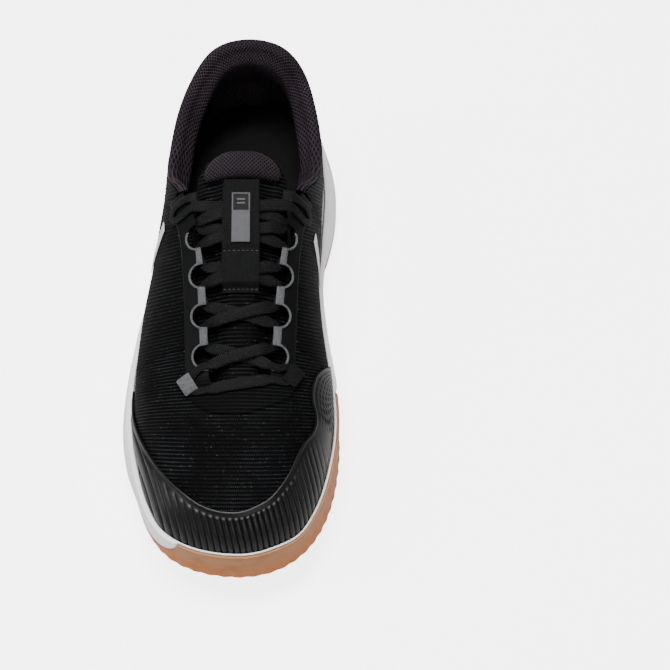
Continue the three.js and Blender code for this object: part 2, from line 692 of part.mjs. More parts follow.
// ---------------------------------------------------------------- overlays
// The place on the upper that lies at x, y seen from above: every loop place runs straight
// from the spine line to the bottom edge, so the place is found by turning that line.
function place(x, y) {
  const side = x < spineX(y) ? -1 : 1;
  let lo = 0;
  let hi = 1;
  for (let i = 0; i < 32; i++) {
    const u = (lo + hi) / 2;
    const loop = side < 0 ? u / 2 : 1 - u / 2;
    const top = lastPoint(loop, 1);
    const edge = footOf(loop);
    const turn = (edge.x - top.x) * (y - top.y) - (edge.y - top.y) * (x - top.x);
    if (turn * side < 0) lo = u;
    else hi = u;
  }
  const u = (lo + hi) / 2;
  const loop = side < 0 ? u / 2 : 1 - u / 2;
  const top = lastPoint(loop, 1);
  const far = Math.hypot(x - top.x, y - top.y);
  return { loop, rise: riseWhere(loop, (p) => Math.hypot(p.x - top.x, p.y - top.y) <= far) };
}
const above = (x, y, offset) => {
  const { loop, rise } = place(x, y);
  return last(loop, rise, offset);
};

// A patch of the upper: columns of { loop, rise } places, thickened between two offsets.
const patch = (columns, inner, outer) =>
  sweep(
    columns.map((column) => [
      ...column.map((p) => xyz(last(p.loop, p.rise, outer))),
      ...column.map((p) => xyz(last(p.loop, p.rise, inner))).reverse(),
    ]),
  );

const FILM_IN = GAP;
const FILM_OUT = GAP + FILM_THICK;
const FILM_BACK_Y = COLLAR_FRONT_Y - 2;
const LACE_OVER = FILM_OUT + GAP + LACE_THICK / 2; // a lace lying on the film
const LACE_UNDER = -0.2 - LACE_THICK / 2; // and one passing beneath the webbing
const TAB_TOP = LACE_OVER + LACE_THICK / 2 + GAP + 1;
const ARCH_Y = THROAT_BOTTOM_Y + ARCH_LENGTH;

// A straight column down one side of the throat at a length y: from inset outside the
// throat's edge, down the surface for a distance.
function legColumn(side, y, inset, distance, steps) {
  const loop = loopAt(side, y);
  const from = throatRise(loop, inset);
  let to = from;
  let run = 0;
  while (run < distance && to > 0.05) {
    run += lastPoint(loop, to).distanceTo(lastPoint(loop, to - 0.004));
    to -= 0.004;
  }
  return range(to, from, steps).map((rise) => ({ loop, rise }));
}
// The same round the front of the throat, turn running from 0 to 1 on each side.
const FILM_FRONT = 13.5; // film in front of the throat
function archColumn(side, turn, inset, width, steps) {
  const angle = (turn * Math.PI) / 2;
  const c = Math.cos(angle) ** (2 / ARCH_POWER);
  const s0 = Math.sin(angle) ** (2 / ARCH_POWER);
  const skew = side > 0 ? 4 * Math.sin(Math.PI * turn) : 0;
  const inner = [gapHalf(ARCH_Y) + inset, ARCH_LENGTH + inset];
  const outer = [gapHalf(ARCH_Y) + width, ARCH_LENGTH + FILM_FRONT - skew];
  return range(1, 0, steps).map((t) => {
    const y = ARCH_Y - mix(inner[1], outer[1], t) * s0;
    return place(spineX(y) + side * Math.max(mix(inner[0], outer[0], t) * c, 1e-4), y);
  });
}
const EYESTAY_WIDTH = 13;
function eyestayColumns(inset, width, backY) {
  const leg = (side) =>
    range(ARCH_Y + 0.5, backY, 22).map((y) => legColumn(side, y, inset, width, 4));
  const arch = (side) =>
    range(0, side < 0 ? 1 : 0.93, 8).map((t) => archColumn(side, t, inset, width + inset - 0.7, 4));
  return [...leg(-1).reverse(), ...arch(-1), ...arch(1).reverse(), ...leg(1)];
}

// The band beside the throat that is webbing instead of film, and the lace notches in it.
const NOTCHES = Array.from({ length: NOTCH_COUNT }, (_, i) => NOTCH_FIRST_Y + i * NOTCH_PITCH);
const WEB_FRONT_Y = NOTCH_FIRST_Y - 7.4;
const WEB_BACK_Y = NOTCH_FIRST_Y + (NOTCH_COUNT - 1) * NOTCH_PITCH + 4;
const NOTCH_DEPTH = 1.7; // how far outside the throat's edge a notch has its middle
function notchTool(side, y, radius) {
  const loop = loopAt(side, y);
  const rise = throatRise(loop, NOTCH_DEPTH);
  const centre = last(loop, rise);
  const along = last(loop, rise, 4).sub(centre).normalize();
  const turn = new THREE.Quaternion().setFromUnitVectors(new THREE.Vector3(0, 1, 0), along);
  const matrix = new THREE.Matrix4().compose(centre, turn, new THREE.Vector3(1, 1, 1));
  return plainGeometry(new THREE.CylinderGeometry(radius, radius, 8, 20), matrix);
}
function bandTool(side, h0, h1, y0, y1) {
  const columns = range(y0, y1, 18).map((y) => {
    const loop = loopAt(side, y);
    const rises = [throatRise(loop, h1), throatRise(loop, h0)];
    return rises.map((rise) => ({ loop, rise }));
  });
  return patch(columns, -2, 4);
}

function eyestayFilm() {
  const tools = [];
  for (const side of [-1, 1]) {
    tools.push(bandTool(side, -3, WEBBING_BAND + GAP, WEB_FRONT_Y - GAP, WEB_BACK_Y + GAP));
    for (const y of NOTCHES) tools.push(notchTool(side, y, NOTCH_RADIUS + WEBBING_EDGE + GAP));
  }
  return cut(patch(eyestayColumns(0, EYESTAY_WIDTH, FILM_BACK_Y), FILM_IN, FILM_OUT), tools);
}
function webbing(side) {
  const columns = range(WEB_FRONT_Y, WEB_BACK_Y, 24).map((y) => legColumn(side, y, 0, 10.5, 3));
  let body = toSolid(patch(columns, GAP, GAP + 0.9));
  let keep = toSolid(bandTool(side, -3, WEBBING_BAND, WEB_FRONT_Y - 1, WEB_BACK_Y + 1));
  for (const y of NOTCHES) keep = keep.add(toSolid(notchTool(side, y, NOTCH_RADIUS + WEBBING_EDGE)));
  body = body.intersect(keep);
  for (const y of NOTCHES) body = body.subtract(toSolid(notchTool(side, y, NOTCH_RADIUS)));
  return fromSolid(body);
}
add("eyestay_film", eyestayFilm(), film);
add("lace_webbing_lateral", webbing(-1), webbingGrey);
add("lace_webbing_medial", webbing(1), webbingGrey);

// Webbing tabs that bridge over the two ends of the lowest lace row.
const TAB_WIDTH = 7.2;
const TAB_LENGTH = 10.5;
const TABS = [
  [-1, -19.5 * WIDE, THROAT_BOTTOM_Y + 3.5, "lateral"],
  [1, 34 * WIDE, THROAT_BOTTOM_Y + 9, "medial"],
];
for (const [side, x, y, name] of TABS) {
  const long = new THREE.Vector2(-0.5 * side, -0.866);
  const wide = new THREE.Vector2(0.866, -0.5 * side);
  const columns = range(-TAB_WIDTH / 2, TAB_WIDTH / 2, 3).map((w) =>
    range(-TAB_LENGTH / 2, TAB_LENGTH / 2, 4).map((l) =>
      place(x + wide.x * w + long.x * l, y + wide.y * w + long.y * l),
    ),
  );
  add("lace_tab_" + name, patch(columns, LACE_OVER + LACE_THICK / 2 + GAP, TAB_TOP), webbingGrey);
}

// Moulded toe guard. Its top edge is low on the lateral side, level across the toe, and on
// the medial side dips at the ball before a tab that climbs towards the eyestay.
const guardTop = spline([
  [0.305, 33], [0.32, 36], [0.347, 42], [0.382, 48.3], [0.414, 51], [0.45, 51.3], [0.476, 51.3],
  [0.519, 51.8], [0.547, 52.3], [0.575, 52.8], [0.613, 53.1], [0.63, 53.3], [0.641, 52.6],
  [0.65, 51.1], [0.657, 51.1], [0.663, 52.6], [0.67, 55.6], [0.676, 57.4], [0.682, 58.2],
  [0.69, 57.6], [0.698, 52], [0.706, 42], [0.712, 34],
]);
const guardLoops = [...range(0.305, 0.63, 22), ...range(0.636, 0.712, 15)];
add(
  "toe_guard",
  sheet(guardLoops, () => 0.03, (l) => riseAtZ(l, guardTop(l)), GAP + 0.1, GAP + GUARD_THICK, 6),
  guardRubber,
);
const heelLoops = range(-0.042, 0.042, 8);
add(
  "heel_tab",
  sheet(heelLoops, () => 0.05, (l) => riseAtZ(l, collarZ(footOf(l).y) - 5), FILM_IN, FILM_OUT, 6),
  film,
);

// Slanted side marks, one on each quarter.
const MARK_WIDTH = 6;
const MARK_LEAN = 12;
for (const [side, name, y0, z0, z1] of [[-1, "lateral", 12, 56, 79], [1, "medial", 8, 48, 74]]) {
  const columns = range(0, MARK_WIDTH, 3).map((along) =>
    range(z0, z1, 5).map((z) => {
      const y = y0 * LONG + along + (MARK_LEAN * (z - z0)) / (z1 - z0);
      const loop = loopAt(side, y);
      return { loop, rise: riseAtZ(loop, z) };
    }),
  );
  add("side_mark_" + name, patch(columns, GAP, GAP + 0.6), stripeWhite);
}

// ---------------------------------------------------------------- tongue
// Height of the tongue's outer face above the last, at a half width from the spine.
const crown = (half) => -0.4 - 5.2 * smooth(half, 5 * WIDE, 17 * WIDE);
const tongueHalf = (y) =>
  (TONGUE_HALF - 9 * (1 - smooth(y, TONGUE_FRONT_Y, TONGUE_FRONT_Y + 21)) -
    1.5 * smooth(y, 5 * LONG, 40 * LONG)) *
  (1 - 0.22 * smooth(y, TONGUE_TOP_Y - 10, TONGUE_TOP_Y) ** 2);
const tongueY = [
  ...range(TONGUE_FRONT_Y, TONGUE_TOP_Y - 9, 15),
  TONGUE_TOP_Y - 5, TONGUE_TOP_Y - 2, TONGUE_TOP_Y,
];
const onTongue = (half, y, lift) =>
  xyz(above(spineX(y) + (half || 1e-4), y, crown(Math.abs(half)) + lift));
function tongueLayer(outer, inner, steps = 5) {
  const sections = tongueY.map((y) => {
    const across = range(-1, 1, 2 * steps).map((t) => t * tongueHalf(y));
    const at = (half, shift) => onTongue(half, y, shift(half / tongueHalf(y)));
    return [...across.map((h) => at(h, outer)), ...across.map((h) => at(h, inner)).reverse()];
  });
  return sweep(sections);
}
const TONGUE_SKIN = 1.1;
const foamAt = (t) => -TONGUE_SKIN - GAP - 1.4 - 2.6 * (1 - t * t);
add("tongue_shell", tongueLayer(() => 0, () => -TONGUE_SKIN), ribbedMesh);
add("tongue_foam", tongueLayer(() => -TONGUE_SKIN - GAP, foamAt), paddingFoam);
add(
  "tongue_lining",
  tongueLayer((t) => foamAt(t) - GAP, (t) => foamAt(t) - GAP - LINING_THICK),
  textileBlack,
);

// A straight band along the middle of the tongue between two lifts above its crown.
function tongueBand(ys, halfAt, under, over, steps) {
  const sections = ys.map((y) => {
    const across = range(-1, 1, steps).map((t) => t * halfAt(y));
    const flat = (half) => crown(0) - crown(Math.abs(half));
    const lift = (half, value) => onTongue(half, y, value(y, half / halfAt(y)) + flat(half));
    return [...across.map((h) => lift(h, over)), ...across.map((h) => lift(h, under)).reverse()];
  });
  return sweep(sections);
}
const line = (pairs) => (at) => {
  let i = 0;
  while (i < pairs.length - 2 && at > pairs[i + 1][0]) i++;
  const [[x0, v0], [x1, v1]] = [pairs[i], pairs[i + 1]];
  return mix(v0, v1, clamp((at - x0) / (x1 - x0), 0, 1));
};

const PAD_Y = TONGUE_TOP_Y - 10; // the padded top of the tongue starts here
const PAD_LENGTH = 13.4;
const PAD_HEIGHT = 4.6;
const PAD_HALF = 21.5 * WIDE;
const padLift = (y, t) => {
  const along = Math.sqrt(Math.max(0, 1 - Math.abs((y - PAD_Y - PAD_LENGTH / 2) / 6.9) ** 2.6));
  return GAP + 0.7 + PAD_HEIGHT * along * Math.max(0, 1 - Math.abs(t) ** 3) ** 0.5;
};
const padHalf = (y) =>
  PAD_HALF * (1 - 0.3 * smooth(y - PAD_Y, 6, PAD_LENGTH) ** 1.5 - 0.06 * smooth(PAD_Y - y, -3, 0));
const padYs = [0, 1, 3, 6, 9, 11.4, 12.8, PAD_LENGTH].map((along) => PAD_Y + along);
const padSections = padYs.map((y) => {
  const across = range(-1, 1, 10).map((t) => t * padHalf(y));
  const drop = (half) => 0.45 * (crown(0) - crown(Math.abs(half)));
  return [
    ...across.map((h) => onTongue(h, y, padLift(y, h / padHalf(y)) + drop(h))),
    ...across.map((h) => onTongue(h, y, GAP + 0.1)).reverse(),
  ];
});
add("tongue_pad", sweep(padSections), airMesh);

// The strap is sewn down at its front end and between two lace rows, and lies over the rest.
const STRAP_LIFT = 2 * (LACE_THICK + GAP) + 1.2;
const ROWS = [...NOTCHES, TOP_ROW_Y]; // lace rows cross the middle of the tongue here
const SEWN_Y = (ROWS[2] + ROWS[3]) / 2;
const STRAP_FRONT_Y = ROWS[2] - 10;
const STRAP_BACK_Y = PAD_Y - 0.6;
const strapLift = line([
  [STRAP_FRONT_Y, GAP + 0.1], [STRAP_FRONT_Y + 2, GAP + 0.1], [STRAP_FRONT_Y + 4.6, STRAP_LIFT],
  [SEWN_Y - 2.6, STRAP_LIFT], [SEWN_Y - 1, STRAP_LIFT - 1.2], [SEWN_Y + 1, STRAP_LIFT - 1.2],
  [SEWN_Y + 2.6, STRAP_LIFT], [STRAP_BACK_Y - 8, STRAP_LIFT], [STRAP_BACK_Y - 2, GAP + 0.1],
  [STRAP_BACK_Y, GAP + 0.1],
]);
const strapYs = [
  STRAP_FRONT_Y, STRAP_FRONT_Y + 2, STRAP_FRONT_Y + 4.6, SEWN_Y - 2.6, SEWN_Y - 1, SEWN_Y + 1,
  ...range(SEWN_Y + 2.6, STRAP_BACK_Y - 8, 4), STRAP_BACK_Y - 2, STRAP_BACK_Y,
];
add(
  "tongue_strap",
  tongueBand(strapYs, () => STRAP_WIDTH / 2, strapLift, (y) => strapLift(y) + STRAP_THICK, 4),
  textileBlack,
);
const labelLift = (y) => strapLift(y) + STRAP_THICK + GAP;
const LABEL_HALF = 5;
const LABEL_FRONT_Y = STRAP_BACK_Y - 35.2;
const LABEL_BACK_Y = STRAP_BACK_Y - 8.8;
const underLabel = strapYs.filter((y) => y > LABEL_FRONT_Y && y < LABEL_BACK_Y);
const labelYs = [LABEL_FRONT_Y, ...underLabel, LABEL_BACK_Y];
add(
  "tongue_label",
  tongueBand(labelYs, () => LABEL_HALF, labelLift, (y) => labelLift(y) + 0.6, 4),
  labelGrey,
);

// ---------------------------------------------------------------- lace
// One flat lace. Each row crosses the tongue between the two notches of its number, passes
// under the webbing link above and comes out again at the next notch.
const edgeHalf = (y) => throatHalf(y) + 1.6;
const laceBase = (half, edge, lifted) =>
  mix(crown(0) + GAP + 0.1 + LACE_THICK / 2, LACE_UNDER, smooth(half, 4, edge - 0.5)) +
  (lifted ? (LACE_THICK + GAP + 0.15) * (1 - smooth(half, edge - 7.5, edge - 1.5)) : 0);

const TOP_DIP = 1; // the lace dips this much more where it passes under the widening film

// One crossing from the given side, as [side * half, y, offset] places.
function crossing(side, row, lifted, overFilm) {
  const y = ROWS[row];
  const edge = edgeHalf(y);
  const slant = (half) => 4.4 * Math.min(1, half / (edge - 1.5));
  const low = (half) => [side * half, y - slant(half), laceBase(half, edge, lifted)];
  const high = (half) => [-side * half, y + slant(half), laceBase(half, edge, lifted)];
  const near = edge - 7;
  let start = [
    [side * (edge + 0.2), y - 6.6, LACE_UNDER],
    [side * (edge - 1), y - 4.4, LACE_UNDER],
    low(near),
  ];
  if (row === 0) {
    const over = LACE_OVER + GAP;
    start = [[side * (edge + 1.5), y - 5.6, over], [side * (edge - 3.6), y - 4.6, over]];
  }
  if (overFilm) start = [[side * (edge - 1), y - 3.9, LACE_UNDER - TOP_DIP], low(near)];
  const under = row === NOTCH_COUNT - 1 ? LACE_UNDER - TOP_DIP : LACE_UNDER;
  const end = overFilm
    ? [[-side * (edge - 2), y + 4.2, LACE_OVER]]
    : [[-side * (edge - 1), y + 4.4, under], [-side * (edge + 0.2), y + 6.6, under]];
  return [...start, low(7), [0, y, laceBase(0, edge, lifted)], high(7), high(near), ...end];
}

const LOWEST_Y = THROAT_BOTTOM_Y + 2.5; // the lace's middle, lying in front of the first row

// Half of the lace, from the middle of the lowest row to one end.
function laceHalf(side) {
  const [, x, y] = TABS[side < 0 ? 0 : 1];
  const half = Math.abs(x - spineX(y));
  const bar = [
    [side * 8, mix(LOWEST_Y, y - 3.6, 0.45), LACE_OVER],
    [side * 16, y - 3.8, LACE_OVER],
    [side * (half - 2.5), y - 3.6, LACE_OVER],
    [side * half, y - 0.6, LACE_OVER],
    [side * (half - 1.6), y + 3.6, LACE_OVER],
  ];
  let at = side;
  const rows = ROWS.map((_, row) => {
    const points = crossing(at, row, (row % 2 === 0) === (side < 0), row === NOTCH_COUNT);
    at = -at;
    return points;
  });
  const out = (at < 0 ? 36.5 : 34.5) * WIDE;
  const tail = [
    [at * (out - 6), TOP_ROW_Y + 2.4, LACE_OVER],
    [at * (out - 1.6), TOP_ROW_Y + 2, LACE_OVER],
    [at * out, TOP_ROW_Y + 5.2, LACE_OVER],
    [at * (out - 1.8), TOP_ROW_Y + 8.6, LACE_OVER],
    [at * (out - 8.5), TOP_ROW_Y + 9.6, LACE_OVER],
    [at * (out - 12.5), TOP_ROW_Y + 9.2, LACE_OVER - 1.9],
  ];
  return [...bar, ...rows.flat(), ...tail];
}
const lacePlaces = [...laceHalf(-1).reverse(), [0, LOWEST_Y, LACE_OVER], ...laceHalf(1)];

function laceBody() {
  const surface = ([half, y, offset]) => above(spineX(y) + (half || 1e-4), y, offset);
  const curve = new THREE.CatmullRomCurve3(lacePlaces.map(surface), false, "centripetal");
  const up = new THREE.CatmullRomCurve3(
    lacePlaces.map(([half, y]) => surface([half, y, 1]).sub(surface([half, y, 0]))),
    false,
    "centripetal",
  );
  const inset = lacePlaces.map(([half, y]) => edgeHalf(Math.max(y, -60)) - Math.abs(half));
  const count = lacePlaces.length - 1;
  const steps = [];
  for (let i = 0; i < count; i++) {
    const length = surface(lacePlaces[i]).distanceTo(surface(lacePlaces[i + 1]));
    const parts = Math.max(1, Math.round(length / 4.5));
    for (let k = 0; k < parts; k++) steps.push((i + k / parts) / count);
  }
  steps.push(1);
  const sections = steps.map((t) => {
    const i = Math.min(Math.floor(t * count), count - 1);
    const narrow = 0.64 + 0.36 * smooth(mix(inset[i], inset[i + 1], t * count - i), 1, 6);
    const centre = curve.getPoint(t);
    const ahead = curve.getPoint(Math.min(t + 2e-4, 1));
    const behind = curve.getPoint(Math.max(t - 2e-4, 0));
    const along = ahead.sub(behind).normalize();
    const normal = up.getPoint(t).normalize();
    const across = along.clone().cross(normal).normalize();
    const thick = across.clone().cross(along).normalize();
    const w = (LACE_WIDTH / 2) * narrow;
    const h = LACE_THICK / 2;
    return [[-w, 0], [-w * 0.82, h], [w * 0.82, h], [w, 0], [w * 0.82, -h], [-w * 0.82, -h]].map(
      ([a, b]) => xyz(centre.clone().addScaledVector(across, a).addScaledVector(thick, b)),
    );
  });
  return sweepTube(sections);
}
// A tube through sections with flat ends.
function sweepTube(sections) {
  const n = sections[0].length;
  const triangles = [];
  for (let i = 0; i < sections.length - 1; i++) {
    for (let j = 0; j < n; j++) {
      const k = (j + 1) % n;
      triangles.push(i * n + j, i * n + k, (i + 1) * n + k, i * n + j, (i + 1) * n + k, (i + 1) * n + j);
    }
  }
  const end = (sections.length - 1) * n;
  for (let j = 1; j < n - 1; j++) {
    triangles.push(0, j + 1, j, end, end + j, end + j + 1);
  }
  return solidMesh(sections.flat(), triangles);
}
add("lace", laceBody(), laceBlack);

export default shoe;
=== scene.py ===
# %% [markdown]
# # A court shoe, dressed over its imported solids
# The solids give every size and joint. This lesson lays fine surfaces over them: ribbed mesh, fused
# film, moulded rubber, woven laces and a padded collar. All shape maths below is in millimetres,
# because that is how a shoemaker talks, and each mesh is turned into metres as it is made.

# %% Load the frame
import math
import bpy
import numpy as np
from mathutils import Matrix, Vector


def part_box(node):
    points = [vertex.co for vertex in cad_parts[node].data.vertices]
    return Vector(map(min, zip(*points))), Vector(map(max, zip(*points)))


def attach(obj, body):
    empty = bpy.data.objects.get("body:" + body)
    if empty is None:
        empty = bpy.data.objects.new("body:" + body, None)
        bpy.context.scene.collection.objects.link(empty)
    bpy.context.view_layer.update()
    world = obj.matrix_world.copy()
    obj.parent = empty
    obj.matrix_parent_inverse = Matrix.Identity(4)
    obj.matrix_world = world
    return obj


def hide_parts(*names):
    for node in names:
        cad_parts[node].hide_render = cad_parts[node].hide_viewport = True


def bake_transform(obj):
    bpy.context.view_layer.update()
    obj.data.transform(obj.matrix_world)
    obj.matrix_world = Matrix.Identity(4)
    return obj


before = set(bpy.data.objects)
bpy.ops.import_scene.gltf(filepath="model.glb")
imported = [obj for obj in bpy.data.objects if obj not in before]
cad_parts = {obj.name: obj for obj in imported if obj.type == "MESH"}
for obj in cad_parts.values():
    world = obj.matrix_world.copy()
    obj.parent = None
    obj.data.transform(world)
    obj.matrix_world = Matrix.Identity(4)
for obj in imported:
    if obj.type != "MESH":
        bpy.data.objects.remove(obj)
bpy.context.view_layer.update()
MM = 0.001

# %% [markdown]
# ## The camera and the room
# A long lens high in front of the toe shows the shoe the way a catalogue does. The floor is a plain pale
# sheet and the light comes from big soft panels, so black cloth keeps its texture and rubber its sheen.

# %% Camera, floor and lights
CAMERA_TILT = math.radians(57)
CAMERA_FAR = 1.2
CAMERA_AIM = (0.057, 0.0056, 0.0036)
LENS = 113.6


def add_camera():
    place = (
        CAMERA_AIM[0],
        CAMERA_AIM[1] - CAMERA_FAR * math.cos(CAMERA_TILT),
        CAMERA_AIM[2] + CAMERA_FAR * math.sin(CAMERA_TILT),
    )
    bpy.ops.object.camera_add(location=place, rotation=(math.pi / 2 - CAMERA_TILT, 0, 0))
    camera = bpy.context.object
    camera.data.lens = LENS
    camera.data.sensor_width = 36
    camera.data.clip_start = 0.01
    bpy.context.scene.camera = camera


def add_panel(name, place, aim, size, power):
    bpy.ops.object.light_add(type="AREA", location=place)
    lamp = bpy.context.object
    lamp.name = name
    lamp.data.shape = "RECTANGLE"
    lamp.data.size, lamp.data.size_y = size
    lamp.data.energy = power
    toward = np.array(aim) - np.array(place)
    lamp.rotation_euler = (
        math.acos(-toward[2] / np.linalg.norm(toward)),
        0,
        math.atan2(toward[0], -toward[1]) + math.pi,
    )


add_camera()
add_panel("panel_over", (-0.1, 0.2, 1.4), (0, 0, 0.05), (0.7, 0.35), 30)
add_panel("panel_left", (-1.3, -0.2, 1.0), (0, 0, 0.05), (0.5, 0.9), 9)
add_panel("panel_front", (0.5, -1.3, 0.9), (0, 0, 0.03), (0.9, 0.4), 8)
world = bpy.data.worlds.new("soft_room")
world.use_nodes = True
world.node_tree.nodes["Background"].inputs["Color"].default_value = (0.93, 0.94, 0.96, 1)
world.node_tree.nodes["Background"].inputs["Strength"].default_value = 0.3
bpy.context.scene.world = world
print("camera and lights ready:", [one.name for one in bpy.data.lights])

# %% [markdown]
# ## Writing materials as sums
# Woven cloth is arithmetic: waves, lines and cells multiplied together. A small wrapper lets a material
# be written as ordinary Python expressions, and each operator adds one node.


# %% A wire with operators, and a finish that owns nodes
class Wire:
    def __init__(self, finish, socket):
        self.finish = finish
        self.socket = socket

    def maths(self, operation, *values):
        return self.finish.node("ShaderNodeMath", {"operation": operation}, values)

    def __add__(self, other):
        return self.maths("ADD", self, other)

    def __sub__(self, other):
        return self.maths("SUBTRACT", self, other)

    def __rsub__(self, other):
        return self.maths("SUBTRACT", other, self)

    def __mul__(self, other):
        return self.maths("MULTIPLY", self, other)

    def __truediv__(self, other):
        return self.maths("DIVIDE", self, other)

    def __pow__(self, other):
        return self.maths("POWER", self, other)

    __radd__ = __add__
    __rmul__ = __mul__

    def sine(self):
        return self.maths("SINE", self)

    def size(self):
        return self.maths("ABSOLUTE", self)

    def part(self):
        return self.maths("FRACT", self)

    def between(self, low, high):
        settings = {"interpolation_type": "SMOOTHSTEP"}
        return self.finish.node("ShaderNodeMapRange", settings, {0: self, 1: low, 2: high, 3: 0.0, 4: 1.0})


class Finish:
    def __init__(self, name, roughness=0.6, **constants):
        self.material = bpy.data.materials.new(name)
        self.material.use_nodes = True
        self.tree = self.material.node_tree
        self.shader = self.tree.nodes["Principled BSDF"]
        self.shader.inputs["Roughness"].default_value = roughness
        for socket, value in constants.items():
            self.shader.inputs[socket.replace("_", " ")].default_value = value

    def node(self, kind, settings=None, values=(), out=0):
        made = self.tree.nodes.new(kind)
        for key, value in (settings or {}).items():
            setattr(made, key, value)
        pairs = values.items() if isinstance(values, dict) else enumerate(values)
        for key, value in pairs:
            if isinstance(value, Wire):
                self.tree.links.new(value.socket, made.inputs[key])
            else:
                made.inputs[key].default_value = value
        return Wire(self, made.outputs[out])

    def split(self, vector, scale):
        scaled = self.node("ShaderNodeVectorMath", {"operation": "SCALE"}, {0: vector, "Scale": scale})
        parts = self.node("ShaderNodeSeparateXYZ", {}, [scaled]).socket.node.outputs
        return [Wire(self, part) for part in parts]

    def place(self):
        return self.node("ShaderNodeTexCoord", {}, [], "Object")

    def cloth(self):
        return self.node("ShaderNodeTexCoord", {}, [], "UV")

    def noise(self, vector, scale, detail=2.0):
        return self.node("ShaderNodeTexNoise", {}, {"Vector": vector, "Scale": scale, "Detail": detail})

    def blend(self, factor, one, two):
        values = {0: factor, 6: colour(one), 7: colour(two)}
        return self.node("ShaderNodeMix", {"data_type": "RGBA"}, values, 2)

    def paint(self, socket, wire):
        self.tree.links.new(wire.socket, self.shader.inputs[socket])

    def bump(self, height, depth, strength=1.0):
        values = {"Height": height, "Distance": depth * MM, "Strength": strength}
        self.paint("Normal", self.node("ShaderNodeBump", {}, values))


def colour(value):
    return value if isinstance(value, Wire) else (*value, 1.0)


def grey(level, warm=0.0):
    return (level * (1 + warm), level, level * (1 - warm))


TURN = 2 * math.pi
print("material helpers ready")

# %% [markdown]
# ## The last
# A shoe is built over a foot-shaped block called a last, and every layer of the upper follows it. The
# block here is a formula: `loop` runs round the shoe (0 heel, 0.25 outer side, 0.5 toe, 0.75 inner side)
# and `rise` runs from the bottom edge, 0, to the ridge along the top, 1. The same curves shaped the
# solids, so a sheet drawn on this block lies exactly where its solid lies.

# %% Curves and outlines
outsole_low, outsole_high = (np.array(corner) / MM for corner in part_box("outsole"))
HEEL_Y, TOE_Y = outsole_high[1], outsole_low[1]
SOLE_HALF = (outsole_high[0] - outsole_low[0]) / 2
UPPER_HEEL_Y, UPPER_TOE_Y = HEEL_Y - 6, TOE_Y + 5.3
HEEL_X, TOE_X = 9, 7
THROAT_FRONT_Y = -70
COLLAR_FRONT_Y = 37
RIM_HEIGHT = 5
GAP = 0.3


def mix(one, two, share):
    return one + (two - one) * share


def smooth(value, low, high):
    share = np.clip((value - low) / (high - low), 0, 1)
    return share * share * (3 - 2 * share)


def spline(pairs):
    at, value = (np.array(column, float) for column in zip(*pairs))
    step = np.diff(at)
    rate = np.diff(value) / step
    slope = np.empty_like(value)
    slope[0], slope[-1] = rate[0], rate[-1]
    slope[1:-1] = (rate[:-1] * step[1:] + rate[1:] * step[:-1]) / (step[1:] + step[:-1])

    def curve(query):
        query = np.clip(query, at[0], at[-1])
        i = np.clip(np.searchsorted(at, query, side="left") - 1, 0, len(at) - 2)
        t = (query - at[i]) / step[i]
        a = 1 + t * t * (2 * t - 3)
        b = t * (1 - t) ** 2
        c = t * t * (3 - 2 * t)
        d = t * t * (t - 1)
        return a * value[i] + b * step[i] * slope[i] + c * value[i + 1] + d * step[i] * slope[i + 1]

    return curve


def station_y(u, heel, toe):
    return mix(heel, toe, (1 - np.cos(math.pi * u)) / 2)


def station_of(y, heel, toe):
    return np.arccos(np.clip(1 - 2 * (heel - y) / (heel - toe), -1, 1)) / math.pi


def side_outline(pairs):
    heel, toe = pairs[0][0], pairs[-1][0]
    x = spline([(station_of(y, heel, toe), v) for y, v in pairs])
    return lambda u: (x(u), station_y(u, heel, toe))


upper_lateral = side_outline([
    (UPPER_HEEL_Y, HEEL_X), (140, -11), (130, -21), (108, -31), (80, -35), (45, -36.5), (15, -40),
    (-12, -45.3), (-44, -49), (-70, -49), (-96, -44.8), (-118, -38.5), (-132, -31), (-141, -19),
    (UPPER_TOE_Y, TOE_X),
])
upper_medial = side_outline([
    (UPPER_HEEL_Y, HEEL_X), (140, 29), (130, 39), (108, 46), (80, 48.5), (45, 46.5), (15, 44.5),
    (-12, 47), (-44, 52), (-70, 53.5), (-96, 50.5), (-122, 43), (-136, 34.5), (-142.5, 23.5),
    (UPPER_TOE_Y, TOE_X),
])
sole_lateral = side_outline([
    (HEEL_Y, HEEL_X), (146, -9), (133, -24), (113, -34.5), (85, -38), (50, -38.5), (22, -41.5), (3, -48),
    (-17, -54.8), (-45, 0.3 - SOLE_HALF), (-64, -SOLE_HALF), (-82, -56.6), (-102, -50), (-123, -42.3),
    (-138, -31.5), (-147, -18), (TOE_Y, TOE_X),
])
sole_medial = side_outline([
    (HEEL_Y, HEEL_X), (146, 27), (135, 40.5), (118, 53), (100, 57.2), (80, 57.2), (55, 53), (35, 47),
    (15, 44.5), (-10, 47.5), (-35, 54), (-64, SOLE_HALF), (-88, 57.9), (-108, 54), (-128, 45.8),
    (-140, 36.5), (-148, 25), (TOE_Y, TOE_X),
])
spine_x = spline([(-150, TOE_X), (-62, 7.2), (0, 7.4), (40, 7.2), (150, HEEL_X)])
feather_z = spline([(-150, 30), (-130, 26.5), (-100, 24), (-60, 24.5), (0, 28), (60, 31.5), (150, 33)])
spring = spline([(-152, 11), (-140, 7.4), (-122, 3.2), (-104, 0.7), (-88, 0), (0, 0), (112, 0), (132, 1.2),
                 (152, 5)])
spine_z = spline([(-150, 50), (-118, 57.5), (-90, 63), (-62, 70.5), (-40, 79.5), (-20, 88.5), (0, 97),
                  (20, 103.5), (40, 110), (60, 119), (85, 130), (150, 136)])
collar_z = spline([(25, 95), (37, 99), (56, 86), (80, 74), (105, 78), (126, 90), (138, 99.5), (150, 101)])
full_lateral = spline([(-150, 2.5), (-62, 2.35), (-20, 2.3), (10, 2.5), (40, 3.1), (60, 3), (120, 3),
                       (150, 3.3)])
